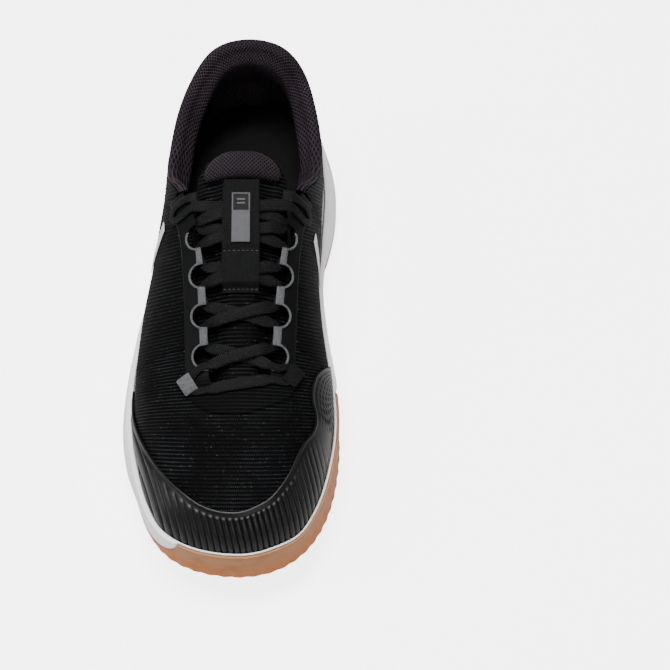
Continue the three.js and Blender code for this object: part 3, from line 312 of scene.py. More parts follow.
full_medial = spline([(-150, 2.5), (-62, 2.55), (-30, 2.9), (0, 3.2), (40, 4), (60, 3.6), (120, 3),
                      (150, 3.3)])
bulge = spline([(-150, 0.02), (-90, 0.05), (-30, 0.1), (20, 0.16), (70, 0.09), (150, 0.07)])
FAN_TOE, FAN_HEEL = 29, 50


# %% [markdown]
# ## Places on the last
# A place is a loop and a rise, and an offset lifts it off the block along its normal, so that each layer
# of the upper is the same sheet a little further out. Some edges are known by height, and are searched for.

# %% Points and offsets on the last
def half_turn(loop):
    turn = np.mod(loop, 1.0)
    return turn <= 0.5, np.where(turn <= 0.5, 2 * turn, 2 - 2 * turn)


def edge_of(loop, lateral_line, medial_line):
    lateral, u = half_turn(loop)
    (lx, y), (mx, _) = lateral_line(u), medial_line(u)
    return np.where(lateral, lx, mx), y


def foot(loop):
    return edge_of(loop, upper_lateral, upper_medial)


def loop_at(side, y):
    u = station_of(y, UPPER_HEEL_Y, UPPER_TOE_Y)
    return u / 2 if side < 0 else 1 - u / 2


def last_point(loop, rise):
    loop, rise = np.broadcast_arrays(np.asarray(loop, float), np.asarray(rise, float))
    lateral, _ = half_turn(loop)
    edge_x, edge_y = foot(loop)
    front = np.clip((THROAT_FRONT_Y - edge_y) / (THROAT_FRONT_Y - UPPER_TOE_Y), 0, 1)
    back = np.clip((edge_y - 60) / (UPPER_HEEL_Y - 60), 0, 1)
    top_y = edge_y + FAN_TOE * front ** 2 - FAN_HEEL * back ** 2
    power = np.where(lateral, full_lateral(edge_y), full_medial(edge_y))
    angle = np.clip(rise, 0, 1) * math.pi / 2
    over, up = np.cos(angle), np.sin(angle)
    norm = (over ** power + up ** power) ** (1 / power)
    up = up / norm
    out = over / norm * (1 + bulge(edge_y) * 4 * up * (1 - up) ** 2)
    y = mix(top_y, edge_y, out)
    x = mix(spine_x(top_y), edge_x, out)
    return together(x, y, mix(feather_z(edge_y), spine_z(y), up))


def together(*parts):
    """Values side by side in a new last column, each stretched to the shape of all."""
    return np.stack(np.broadcast_arrays(*parts), axis=-1)


def unit(vectors):
    return vectors / np.maximum(np.linalg.norm(vectors, axis=-1, keepdims=True), 1e-9)


def last(loop, rise, offset=0.0):
    loop, rise, offset = np.broadcast_arrays(*(np.asarray(a, float) for a in (loop, rise, offset)))
    point = last_point(loop, rise)
    step = 0.0015
    along = last_point(loop + step, rise) - last_point(loop - step, rise)
    low = np.maximum(rise - 0.01, 0)
    upward = last_point(loop, np.minimum(low + 0.02, 1)) - last_point(loop, low)
    normal = np.cross(along, upward)
    slope = (spine_z(point[..., 1] + 1) - spine_z(point[..., 1] - 1)) / 2
    ridge = together(0, -slope, 1)
    normal = np.where((rise > 0.995)[..., None], ridge, normal)
    normal[..., 2] = np.where(rise < 0.004, 0, normal[..., 2])
    return point + unit(normal) * offset[..., None]


def rise_where(loop, test):
    low, high = np.zeros(np.shape(loop)), np.ones(np.shape(loop))
    for _ in range(24):
        middle = (low + high) / 2
        reached = test(last_point(loop, middle))
        high = np.where(reached, middle, high)
        low = np.where(reached, low, middle)
    return (low + high) / 2


def rise_at_z(loop, z):
    return rise_where(loop, lambda p: p[..., 2] >= z)


def last_at_z(loop, z, offset=0.0):
    loop, z = np.broadcast_arrays(np.asarray(loop, float), np.asarray(z, float))
    return last(loop, rise_at_z(loop, z), offset)


# %% [markdown]
# ## The throat
# The throat is the slot that the lace closes: straight sides that widen towards the ankle and a round arch
# at the toe end. Small parts are placed from above, so a search turns an x and a y into a place on the last.

# %% The throat's edge, and finding a place from above
ARCH_LENGTH, ARCH_POWER = 9, 2.6
gap_half = spline([(-70, 16), (-58, 16.4), (-40, 17.2), (-20, 18.5), (0, 20.8), (16, 24), (28, 28.5),
                   (40, 33.5)])


def throat_half(y, extra=0.0):
    arch = np.clip((THROAT_FRONT_Y + ARCH_LENGTH - y) / (ARCH_LENGTH + extra), 0, 1)
    width = gap_half(y) + extra * (1 - 0.5 * smooth(y, -30, 25))
    return width * (1 - arch ** ARCH_POWER) ** (1 / ARCH_POWER)


def within_throat(points, extra):
    return np.abs(points[..., 0] - spine_x(points[..., 1])) <= throat_half(points[..., 1], extra)


def throat_rise(loop, extra=0.0):
    found = rise_where(loop, lambda points: within_throat(points, extra))
    return np.where(last_point(loop, 1)[..., 1] <= THROAT_FRONT_Y - extra, 1.0, found)


def seat_of(x, y):
    x, y = np.broadcast_arrays(np.asarray(x, float), np.asarray(y, float))
    side = np.where(x < spine_x(y), -1, 1)
    low, high = np.zeros(x.shape), np.ones(x.shape)

    def loop_for(u):
        return np.where(side < 0, u / 2, 1 - u / 2)

    for _ in range(30):
        u = (low + high) / 2
        loop = loop_for(u)
        top, (edge_x, edge_y) = last_point(loop, 1), foot(loop)
        turn = (edge_x - top[..., 0]) * (y - top[..., 1]) - (edge_y - top[..., 1]) * (x - top[..., 0])
        ahead = turn * side < 0
        low, high = np.where(ahead, u, low), np.where(ahead, high, u)
    loop = loop_for((low + high) / 2)
    top = last_point(loop, 1)[..., :2]
    far = np.hypot(x - top[..., 0], y - top[..., 1])
    return loop, rise_where(loop, lambda p: np.linalg.norm(p[..., :2] - top, axis=-1) <= far)


def above(x, y, offset):
    return last(*seat_of(x, y), offset)


print("last ready: sole", round(HEEL_Y - TOE_Y), "x", round(2 * SOLE_HALF), "mm")

# %% [markdown]
# ## From a table of points to a piece
# Each sheet starts as Blender's own grid primitive, as if a flat blank were cut, and its corners are then
# laid on the last. Solidify gives the blank its thickness and Bevel takes the sharpness off its rim.


# %% Helpers that cut, lay and finish a blank
def alone(piece):
    bpy.ops.object.select_all(action="DESELECT")
    piece.select_set(True)
    bpy.context.view_layer.objects.active = piece


def edit(piece, *steps):
    alone(piece)
    bpy.ops.object.mode_set(mode="EDIT")
    bpy.ops.mesh.select_all(action="SELECT")
    for step in steps:
        step()
    bpy.ops.object.mode_set(mode="OBJECT")


def weld(piece):
    edit(piece, lambda: bpy.ops.mesh.remove_doubles(threshold=0.01 * MM))


def outward(piece):
    edit(piece, lambda: bpy.ops.mesh.normals_make_consistent(inside=False))


def apply_modifier(piece, kind, **settings):
    alone(piece)
    made = piece.modifiers.new(kind.lower(), kind)
    for key, value in settings.items():
        setattr(made, key, value)
    bpy.ops.object.modifier_apply(modifier=made.name)


def lay(name, points, cloth=None):
    columns, rows = points.shape[0] - 1, points.shape[1] - 1
    bpy.ops.object.select_all(action="DESELECT")
    bpy.ops.mesh.primitive_grid_add(x_subdivisions=columns, y_subdivisions=rows, size=2)
    piece = bpy.context.object
    piece.name = piece.data.name = name
    mesh = piece.data
    flat = np.empty(len(mesh.vertices) * 3, np.float32)
    mesh.vertices.foreach_get("co", flat)
    i, j = (np.rint((flat.reshape(-1, 3)[:, axis] + 1) / 2 * count).astype(int)
            for axis, count in ((0, columns), (1, rows)))
    mesh.vertices.foreach_set("co", (points[i, j] * MM).astype(np.float32).ravel())
    if cloth is not None:
        corner = np.empty(len(mesh.loops), np.int32)
        mesh.loops.foreach_get("vertex_index", corner)
        mesh.uv_layers.active.data.foreach_set("uv", cloth[i, j][corner].astype(np.float32).ravel())
    mesh.update()
    return piece


def face_out(piece):
    """Turns an open sheet's faces away from the inside of the shoe."""
    mesh = piece.data
    count = len(mesh.polygons)
    centre, normal, area = (np.empty(count * size, np.float32) for size in (3, 3, 1))
    mesh.polygons.foreach_get("center", centre)
    mesh.polygons.foreach_get("normal", normal)
    mesh.polygons.foreach_get("area", area)
    centre, normal = centre.reshape(-1, 3) / MM, normal.reshape(-1, 3)
    inside = np.stack([spine_x(centre[:, 1]), centre[:, 1] * 0.85, 0 * centre[:, 1] + 35], axis=1)
    if np.sum(np.sum((centre - inside) * normal, axis=1) * area) < 0:
        edit(piece, bpy.ops.mesh.flip_normals)


def shell(piece, thickness, rim=0.25):
    weld(piece)
    face_out(piece)
    apply_modifier(piece, "SOLIDIFY", thickness=thickness * MM, offset=-1, use_even_offset=False)
    if rim:
        apply_modifier(piece, "BEVEL", width=rim * MM, segments=2, limit_method="ANGLE",
                       angle_limit=math.radians(62))
    soften(piece)
    return piece


def soften(piece, degrees=48):
    alone(piece)
    bpy.ops.object.shade_smooth_by_angle(angle=math.radians(degrees))


def closed_form(piece, degrees=48):
    weld(piece)
    outward(piece)
    soften(piece, degrees)
    return piece


def finished(piece, finish, body, nodes=()):
    piece.data.materials.clear()
    piece.data.materials.append(finish.material)
    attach(piece, body)
    if nodes:
        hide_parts(*nodes)
    print(piece.name, len(piece.data.polygons), "faces")


def steps(low, high, count):
    return np.linspace(low, high, count + 1)


def columns_between(loops, low, high, shares):
    """Places on the last in columns, one for each loop, from its low rise to its high rise."""
    low = low + 0 * loops
    rises = low[:, None] + (high - low)[:, None] * shares[None, :]
    return loops[:, None] + 0 * rises, rises


# %% [markdown]
# ## Cloth finishes
# Ribbed mesh is a knit: thick yarns lie side by side and fine yarns tie them down. The ribs are in the
# shape itself; the finish adds the small ties, painted shade in the gaps between yarns, painted highlights
# on the rib crests and ties, and a few painted glints.

# %% Ribbed mesh, film, rubber and other finishes
RIB_LEAN, RIB_SPLAY = 0.65, 0.25
MIDDLE_X = 7


def rib_place(points):
    """Ribs lie level across the toes and splay a little down the sides, further back."""
    x, y, z = points[..., 0], points[..., 1], points[..., 2]
    return y + RIB_LEAN * (z - 60) + RIB_SPLAY * smooth(y, -95, -30) * np.hypot(x - MIDDLE_X, 8)


def knit_cloth(points):
    """Cloth coordinates in millimetres: along the ribs, and across them."""
    x, y, z = points[..., 0], points[..., 1], points[..., 2]
    return together(np.abs(x - MIDDLE_X) + spine_z(y) - z, rib_place(points))


def rib_wave(across, pitch):
    return (0.5 + 0.5 * np.sin(across * TURN / pitch)) ** 0.7


def ribbed_mesh(name, pitch, tie=0.95, yarn=0.03):
    finish = Finish(name, Specular_IOR_Level=0.05)
    place = finish.place()
    along, across, _ = finish.split(finish.cloth(), 1.0)
    rib = (across * (TURN / pitch)).sine() * 0.5 + 0.5
    row = (across / pitch + 0.25).maths("FLOOR", across / pitch + 0.25)
    ties = ((along + row * (tie / 2)) * (TURN / tie)).sine() * 0.5 + 0.5
    fleck = finish.noise(place, 900, 0.0)
    wide = finish.noise(place, 45, 3.0).between(0.3, 0.7)
    # Rib crests and ties are painted lighter as highlight and the gaps between ribs darker as painted shade,
    # over the yarn pattern.
    yarn_and_painted_light = rib ** 3 * (0.12 + 0.88 * ties ** 2) * (0.4 + 0.8 * wide)
    # Random bright flecks on the ribs are painted glints.
    painted_glint = fleck.between(0.7, 0.84) * rib
    base = finish.blend(yarn_and_painted_light.between(0.05, 0.9), grey(0.0006, -0.05), grey(yarn, -0.1))
    finish.paint("Base Color", finish.blend(painted_glint * 0.3, base, grey(0.12, -0.05)))
    finish.paint("Roughness", 0.7 - yarn_and_painted_light * 0.3)
    finish.bump(rib * (0.55 + 0.45 * ties) + fleck * 0.3, 0.3, 0.9)
    return finish


def satin_film():
    """Thin film shows the ribs beneath it; the second cloth coordinate says how strongly."""
    finish = Finish("satin_film", Specular_IOR_Level=0.06)
    place = finish.place()
    across, shown, _ = finish.split(finish.cloth(), 1.0)
    rib = ((across * (TURN / KNIT_RIB)).sine() * 0.5 + 0.5) * shown
    grain = finish.noise(place, 1400, 2.0)
    broad = finish.noise(place, 30, 2.0)
    plain = finish.blend(shown, grey(0.004, -0.06), grey(0.0006, -0.06))
    finish.paint("Base Color", finish.blend(rib ** 3 * broad, plain, grey(0.011, -0.06)))
    finish.paint("Roughness", 0.42 + shown * 0.25 + broad * 0.12 + grain * 0.08)
    finish.bump(rib + grain * 0.1, 0.22, 0.9)
    return finish


def guard_rubber():
    """The first cloth coordinate counts moulded ribs and the second says how deep they are."""
    finish = Finish("guard_rubber", Specular_IOR_Level=0.24)
    place = finish.place()
    ribs, deep, _ = finish.split(finish.cloth(), 1.0)
    # The groove mask darkens the base colour between the moulded ribs: painted shade in the recesses.
    groove = (ribs.part() * 2 - 1).size() ** 5 * deep
    grain = finish.noise(place, 2200, 2.0)
    broad = finish.noise(place, 60, 3.0)
    plain = finish.blend(broad, grey(0.002), grey(0.004))
    finish.paint("Base Color", finish.blend(groove, plain, grey(0.0004)))
    finish.paint("Roughness", 0.32 + broad * 0.12 + grain * 0.05 + groove * 0.5)
    finish.bump(grain * 0.06 - groove, 0.6, 0.8)
    return finish


def webbing(name, dark, light, pitch, roughness=0.8):
    finish = Finish(name, roughness=roughness, Specular_IOR_Level=0.06)
    u, v, _ = finish.split(finish.cloth(), 1.0)
    warp = (u * (TURN / pitch)).sine()
    weft = (v * (TURN / pitch)).sine()
    check = (warp * weft) * 0.5 + 0.5
    fuzz = finish.noise(finish.place(), 1500, 3.0)
    tone = check * 0.55 + fuzz * 0.6
    finish.paint("Base Color", finish.blend(tone.between(0.25, 0.9), dark, light))
    finish.bump(check + fuzz * 0.6, 0.22, 1.0)
    return finish


def flat_lace():
    finish = Finish("flat_lace", roughness=0.6, Specular_IOR_Level=0.1)
    u, v, _ = finish.split(finish.cloth(), 1.0)
    slant = ((u + v.size() * 0.9) * (TURN / 1.3)).sine() * 0.5 + 0.5
    cords = (v * (TURN / 0.85)).sine() * 0.5 + 0.5
    fleck = finish.noise(finish.place(), 1300, 2.0)
    weave = slant ** 2 * (0.15 + 0.85 * cords)
    tone = finish.blend(weave.between(0.1, 0.9), grey(0.0006), grey(0.024, -0.03))
    # Random bright flecks on the weave are painted glints.
    painted_glint = (fleck.between(0.6, 0.76)) * weave
    finish.paint("Base Color", finish.blend(painted_glint * 0.6, tone, grey(0.16)))
    finish.bump(weave + fleck * 0.3, 0.25, 0.9)
    return finish


def air_mesh(name, pitch, yarn):
    """Two families of threads cross; the piece's own UV says how they run."""
    finish = Finish(name, roughness=0.75, Specular_IOR_Level=0.1)
    u, v, _ = finish.split(finish.cloth(), 1.0)
    one = (((u + v) * (TURN / pitch)).sine() * 0.5 + 0.5) ** 2
    two = (((u - v) * (TURN / pitch)).sine() * 0.5 + 0.5) ** 2
    fuzz = finish.noise(finish.place(), 1600, 2.0)
    broad = finish.noise(finish.place(), 26, 2.0).between(0.3, 0.7)
    thread = one.maths("MAXIMUM", one, two) ** 2
    tone = thread * (0.5 + 0.5 * fuzz) * (0.6 + 0.4 * broad)
    finish.paint("Base Color", finish.blend(tone, (0.0012, 0.001, 0.0014), yarn))
    finish.bump(thread + fuzz * 0.2, 0.4, 0.9)
    return finish


def plain_cloth(name, dark, light, pitch=1.1):
    finish = Finish(name, roughness=0.85, Specular_IOR_Level=0.1)
    place = finish.place()
    x, y, z = finish.split(place, 1 / MM)
    weave = ((x + z) * (TURN / pitch)).sine() * ((y + z) * (TURN / pitch)).sine() * 0.5 + 0.5
    fuzz = finish.noise(place, 900, 3.0)
    finish.paint("Base Color", finish.blend(weave * 0.6 + fuzz * 0.4, dark, light))
    finish.bump(weave + fuzz * 0.6, 0.15, 0.8)
    return finish


def sole_foam():
    finish = Finish("white_foam", Specular_IOR_Level=0.35)
    place = finish.place()
    cells = finish.noise(place, 2600, 2.0)
    broad = finish.noise(place, 22, 3.0)
    tone = finish.blend(broad.between(0.25, 0.8), (0.86, 0.86, 0.85), (0.93, 0.93, 0.925))
    finish.paint("Base Color", tone)
    finish.paint("Roughness", 0.5 + cells * 0.15)
    finish.bump(cells, 0.035, 0.5)
    return finish


def gum_rubber():
    """Gum is a little clear: its thin upper part looks pale and its thick lower edge amber."""
    finish = Finish("gum_rubber", Specular_IOR_Level=0.1)
    place = finish.place()
    _, _, z = finish.split(place, 1 / MM)
    streak = finish.noise(place, 120, 4.0)
    cloud = finish.noise(place, 38, 3.0)
    height = (z + (cloud - 0.5) * 9).between(8, 30)
    tone = finish.blend(height, (0.5, 0.15, 0.04), (0.36, 0.17, 0.08))
    finish.paint("Base Color", finish.blend(streak.between(0.45, 0.75) * 0.4, tone, (0.27, 0.09, 0.03)))
    finish.paint("Roughness", 0.42 + streak * 0.2)
    finish.bump(streak, 0.12, 0.5)
    return finish


def print_finish(name, tone, roughness=0.5):
    finish = Finish(name, Specular_IOR_Level=0.12)
    place = finish.place()
    wear = finish.noise(place, 220, 4.0)
    finish.paint("Base Color", finish.blend(wear.between(0.3, 0.8), tone, tuple(0.82 * c for c in tone)))
    finish.paint("Roughness", roughness + wear * 0.12)
    finish.bump(wear, 0.04, 0.4)
    return finish


KNIT_RIB, TONGUE_RIB = 2.4, 2.0
vamp_cloth = ribbed_mesh("vamp_mesh_cloth", KNIT_RIB)
quarter_cloth = ribbed_mesh("quarter_mesh_cloth", KNIT_RIB, 0.9, 0.016)
tongue_cloth = ribbed_mesh("tongue_mesh_cloth", TONGUE_RIB, 0.9, 0.025)
film = satin_film()
rubber = guard_rubber()
grey_webbing = webbing("grey_webbing", grey(0.025, -0.03), grey(0.17, -0.03), 0.9)
strap_webbing = webbing("strap_webbing", grey(0.0008), grey(0.014, -0.03), 0.9)
lace_weave = flat_lace()
collar_mesh = air_mesh("collar_air_mesh", 2.3, (0.06, 0.043, 0.056))
pad_mesh = air_mesh("pad_air_mesh", 2.1, (0.06, 0.047, 0.058))
lining_cloth = plain_cloth("lining_cloth", grey(0.001), grey(0.004))
insole_cloth = plain_cloth("insole_cloth", grey(0.001), grey(0.004), 1.6)
board = plain_cloth("lasting_board_fibre", (0.34, 0.3, 0.24), (0.5, 0.46, 0.38), 2.0)
open_foam = plain_cloth("open_foam", grey(0.05), grey(0.12), 0.7)
foam = sole_foam()
gum = gum_rubber()
white_print = print_finish("white_print", (0.62, 0.62, 0.64), 0.35)
label_grey = print_finish("label_grey", (0.075, 0.075, 0.08))
label_black = print_finish("label_black", (0.001, 0.001, 0.0015))
thread = print_finish("stitch_thread", (0.05, 0.05, 0.054), 0.7)
print("finishes ready:", len(bpy.data.materials))

# %% [markdown]
# ## The ribbed upper
# The vamp covers the toes and the two quarters the sides and heel. On the last they are sheets from the
# bottom edge up to the throat or the collar. The rib wave lifts their outer face by a quarter of a
# millimetre, less than the room under the film that is fused over them.

# %% Vamp and quarters
MESH_THICK = 1.2
SETBACK = 8
VAMP_BACK_Y = -47


def front_loops(back_y, extra, side_count, toe_count):
    ends = []
    for side in (-1, 1):
        low, high = 0.5, float(loop_at(side, back_y))
        for _ in range(30):
            middle = (low + high) / 2
            if last_point(middle, 1)[1] > THROAT_FRONT_Y - extra:
                high = middle
            else:
                low = middle
        ends.append((low + high) / 2)
    near = 4e-4
    return np.concatenate([
        steps(loop_at(-1, back_y), ends[0] - near, side_count),
        steps(ends[0] + near, ends[1] - near, toe_count),
        steps(ends[1] + near, loop_at(1, back_y), side_count),
    ])


def ribbed_sheet(name, loops, tops, rows):
    grid_loops, rises = columns_between(loops, 0.0, tops, steps(0, 1, rows))
    cloth = knit_cloth(last(grid_loops, rises))
    points = last(grid_loops, rises, 0.24 * rib_wave(cloth[..., 1], KNIT_RIB) - 0.03)
    return shell(lay(name, points, cloth), MESH_THICK, 0)


def upper_top(loops):
    y = foot(loops)[1]
    return np.where(y > COLLAR_FRONT_Y, rise_at_z(loops, collar_z(y) - 4), throat_rise(loops, SETBACK))


loops = front_loops(VAMP_BACK_Y, SETBACK, 70, 330)
vamp = ribbed_sheet("vamp", loops, throat_rise(loops, SETBACK), 92)
finished(vamp, vamp_cloth, "shoe", ["vamp_mesh"])
for side, name in ((-1, "lateral"), (1, "medial")):
    seam = 5e-4 if side < 0 else 1 - 5e-4
    corner = loop_at(side, COLLAR_FRONT_Y)
    loops = np.concatenate([
        steps(loop_at(side, VAMP_BACK_Y + GAP), corner, 150),
        steps(corner, seam, 190)[1:],
    ])
    quarter = ribbed_sheet("quarter_" + name, loops, upper_top(loops), 78)
    finished(quarter, quarter_cloth, "shoe", ["quarter_mesh_" + name])

# %% [markdown]
# ## The padded collar
# Soft mesh is folded over foam and runs down to the footbed. The section is a short list of depths and
# heights at each place round the ankle, drawn with a smooth curve. Its threads cross as diamonds at the
# heel and run side by side towards the front ends, so the cloth coordinates are wound up slower there.

# %% Collar lining
LINING_THICK = 0.7
BED_GAP = 1.9
COLLAR_BENDS = [(-0.1, -3.1), (-0.3, -2), (-1.4, -0.6), (-3.2, 0), (-5.6, -1), (-7.6, -3.4)]
collar_end = loop_at(-1, COLLAR_FRONT_Y)


def pad_thick(z, top, bottom):
    full = 3.2 + 7.5 * smooth(z, np.maximum(top - 44, bottom + 13), top - 16)
    return full * (1 - 0.25 * smooth(z, top - 8, top))


def collar_section(loops):
    y = foot(loops)[1]
    top, bottom = collar_z(y), feather_z(y) + BED_GAP + 0.4
    full = 1 - 0.3 * smooth(np.abs(loops), 0.17, collar_end)
    depth = [full * inset for inset, _ in COLLAR_BENDS]
    height = [top + rise for _, rise in COLLAR_BENDS]
    for share in np.linspace(0, 1, 8):
        z = mix(top - 8, bottom, share)
        depth.append(-((pad_thick(z, top, bottom) + 1.6) * full + (1 - full) * 3.2))
        height.append(z)
    return np.stack(depth, 1), np.stack(height, 1)


def rounded(values, count):
    """Draws a smooth curve through the columns of a table."""
    at = np.linspace(0, values.shape[1] - 1, count + 1)
    i = np.minimum(at.astype(int), values.shape[1] - 2)
    t = at - i
    one, two = values[:, i], values[:, i + 1]
    before = values[:, np.maximum(i - 1, 0)]
    after = values[:, np.minimum(i + 2, values.shape[1] - 1)]
    curve = (two - before + (2 * before - 5 * one + 4 * two - after) * t
             + (3 * (one - two) + after - before) * t * t)
    return one + 0.5 * curve * t


def run_of(points, axis):
    """Distance along a table of points, from its first row."""
    length = np.linalg.norm(np.diff(points, axis=axis), axis=-1)
    return np.cumsum(np.insert(length, 0, 0, axis=axis), axis=axis)


loops = steps(collar_end, loop_at(1, COLLAR_FRONT_Y) - 1, 340)
depth, height = (rounded(table, 74) for table in collar_section(loops))
points = last_at_z(loops[:, None] + 0 * height, height, depth)
down = run_of(points, 1)
pucker = 0.35 * np.sin(down * 0.21 + 5 * np.sin(loops * 21)[:, None]) * smooth(down, 8, 20)
points = last_at_z(loops[:, None] + 0 * height, height, depth - pucker)
wind = 1.05 * (1 - 0.94 * smooth(np.abs(loops), 0.09, collar_end - 0.02))
ring = run_of(points[:, 14], 0)
wound = np.concatenate([[0], np.cumsum(np.diff(ring) * (wind[1:] + wind[:-1]) / 2)])
cloth = together(wound[:, None], down)
collar = lay("collar_pad", points, cloth)
weld(collar)
outward(collar)
apply_modifier(collar, "SOLIDIFY", thickness=LINING_THICK * MM, offset=0)
soften(collar)
finished(collar, collar_mesh, "shoe", ["collar_lining"])

# %% [markdown]
# ## Film round the throat
# Heat-fused film carries the lace load. Its inner edge steps round webbing links and round notches, and
# both edges are found on the last by asking where a point first falls inside a notch or the link band.

# %% Eyestay film and webbing
FILM_THICK, FILM_OUT = 0.7, 1.0
NOTCH_FIRST_Y, NOTCH_PITCH, NOTCH_COUNT = -52.8, 20.2, 4
NOTCH_YS = [NOTCH_FIRST_Y + NOTCH_PITCH * count for count in range(NOTCH_COUNT)]
NOTCH_RADIUS, NOTCH_DEPTH, LINK_BAND, LINK_RIM = 6, 1.7, 4.2, 1.3
LINK_FRONT_Y, LINK_BACK_Y = NOTCH_YS[0] - 7.4, NOTCH_YS[-1] + 4
ARCH_Y = THROAT_FRONT_Y + ARCH_LENGTH
FILM_BACK_Y, FILM_WIDTH, FILM_FRONT = COLLAR_FRONT_Y - 2, 13, 13.5


def notch_test(side, band, radius):
    centres = [last(loop, throat_rise(loop, NOTCH_DEPTH)) for loop in (loop_at(side, y) for y in NOTCH_YS)]

    def test(points):
        near = np.min([np.linalg.norm(points - c, axis=-1) for c in centres], axis=0)
        linked = (points[..., 1] > LINK_FRONT_Y - GAP) & (points[..., 1] < LINK_BACK_Y + GAP)
        return within_throat(points, np.where(linked, band, 0.0)) | (near <= radius)

    return test


def leg_columns(side, ys, shares):
    loops = loop_at(side, ys)
    throat = last(loops, throat_rise(loops))
    outer = rise_where(loops, lambda p: np.linalg.norm(p - throat, axis=-1) <= FILM_WIDTH)
    inner = rise_where(loops, notch_test(side, LINK_BAND + GAP, NOTCH_RADIUS + LINK_RIM + GAP))
    return columns_between(loops, outer, inner, shares)


def arch_columns(side, turns, shares):
    angle = turns * math.pi / 2
    over, ahead = np.cos(angle) ** (2 / ARCH_POWER), np.sin(angle) ** (2 / ARCH_POWER)
    skew = 4 * np.sin(math.pi * turns) if side > 0 else 0 * turns
    wide = mix(gap_half(ARCH_Y) + FILM_WIDTH - 0.7, gap_half(ARCH_Y), shares[None, :])
    long = ARCH_LENGTH + (FILM_FRONT - skew)[:, None] * (1 - shares[None, :])
    y = ARCH_Y - long * ahead[:, None]
    return seat_of(spine_x(y) + side * np.maximum(wide * over[:, None], 1e-4), y)


shares = np.linspace(0, 1, 27)
leg_ys = steps(ARCH_Y + 0.5, FILM_BACK_Y, 230)
parts = [
    [a[::-1] for a in leg_columns(-1, leg_ys, shares)],
    arch_columns(-1, steps(0, 1, 44), shares),
    [a[::-1] for a in arch_columns(1, steps(0, 0.99, 44), shares)],
    leg_columns(1, leg_ys, shares),
]
loops, rises = (np.concatenate([part[k] for part in parts]) for k in (0, 1))
flat = last(loops, rises)
from_edge = run_of(flat, 1)
shown = 1 - 0.85 * smooth(flat[..., 1], -68, -60)
across = rib_place(flat)
lift = 0.14 * np.exp(-((from_edge - 1.1) / 0.55) ** 2) - 0.35 * (1 - smooth(from_edge, 0, 0.9))
lift += 0.16 * shown * rib_wave(across, KNIT_RIB)
eyestay = lay("eyestay", last(loops, rises, FILM_OUT + lift - 0.1), together(across, shown))
shell(eyestay, FILM_THICK, 0.2)
finished(eyestay, film, "shoe", ["eyestay_film"])

LINK_THICK = 0.9
for side, name in ((-1, "lateral"), (1, "medial")):
    ys = steps(LINK_FRONT_Y, LINK_BACK_Y, 300)
    loops = loop_at(side, ys)
    outer = rise_where(loops, notch_test(side, LINK_BAND, NOTCH_RADIUS + LINK_RIM))
    inner = rise_where(loops, notch_test(side, 0.0, NOTCH_RADIUS))
    shares = np.linspace(0, 1, 15)
    loops, rises = columns_between(loops, outer, inner, shares)
    flat = last(loops, rises)
    cloth = together(ys[:, None], run_of(flat, 1))
    crown = 0.75 * (1 - np.abs(2 * shares - 1) ** 3)[None, :] + 0.15
    links = shell(lay("links_" + name, last(loops, rises, GAP + LINK_THICK + crown), cloth),
                  LINK_THICK + 0.1, 0.25)
    finished(links, grey_webbing, "shoe", ["lace_webbing_" + name])

# %% [markdown]
# ## Folded tabs, heel patch and side marks
# Short webbing tabs hold the lace's lowest row, and they dip at both ends where they are stitched down.

# %% Tabs, patch and marks
LACE_THICK, LACE_WIDTH = 1.4, 6.4
LACE_OVER = FILM_OUT + GAP + LACE_THICK / 2
TAB_TOP = LACE_OVER + LACE_THICK / 2 + GAP + 1
TABS = {-1: (-19.5, -66.5), 1: (34, -61)}
TAB_WIDE, TAB_LONG = 3.6, 5.25
TAB_COSINE, TAB_SINE = 0.866, 0.5
for side, name, finish, slot in ((-1, "lateral", grey_webbing, "grey_webbing"),
                                 (1, "medial", strap_webbing, "strap_webbing")):
    x, y = TABS[side]
    wide = steps(-TAB_WIDE, TAB_WIDE, 26)[:, None]
    far = steps(-TAB_LONG, TAB_LONG, 40)[None, :]
    plan_x = x + TAB_COSINE * wide - TAB_SINE * side * far
    plan_y = y - TAB_SINE * side * wide - TAB_COSINE * far
    curl = 0.85 * smooth(np.abs(far), 2.8, TAB_LONG) - 0.25 * (1 - (wide / TAB_WIDE) ** 2)
    cloth = together(wide, far)
    tab = shell(lay("tab_" + name, above(plan_x, plan_y, TAB_TOP - curl), cloth), 0.95, 0.3)
    finished(tab, finish, "shoe", ["lace_tab_" + name])

loops = steps(-0.042, 0.042, 60)
top = rise_at_z(loops, collar_z(foot(loops)[1]) - 5)
points = last(*columns_between(loops, 0.05, top, np.linspace(0, 1, 70)), FILM_OUT)
patch = shell(lay("heel_patch", points, 0 * points[..., :2]), FILM_THICK, 0.25)
finished(patch, film, "shoe", ["heel_tab"])

for side, name, y, low, high in ((-1, "lateral", 12, 56, 79), (1, "medial", 8, 48, 74)):
    z = steps(low, high, 50)[None, :]
    loops = loop_at(side, y + steps(0, 6, 16)[:, None] + 12 * (z - low) / (high - low))
    mark = shell(lay("mark_" + name, last_at_z(loops, z, GAP + 0.6)), 0.5, 0.15)
    finished(mark, white_print, "shoe", ["side_mark_" + name])

# %% [markdown]
# ## The moulded toe guard
# One rubber skin wraps the toe. Its ribs are straight in plan and lean the same way all round, so they
# run along the outer edge, fan across the toe and fade on the inner side, where a tab carries small dots.

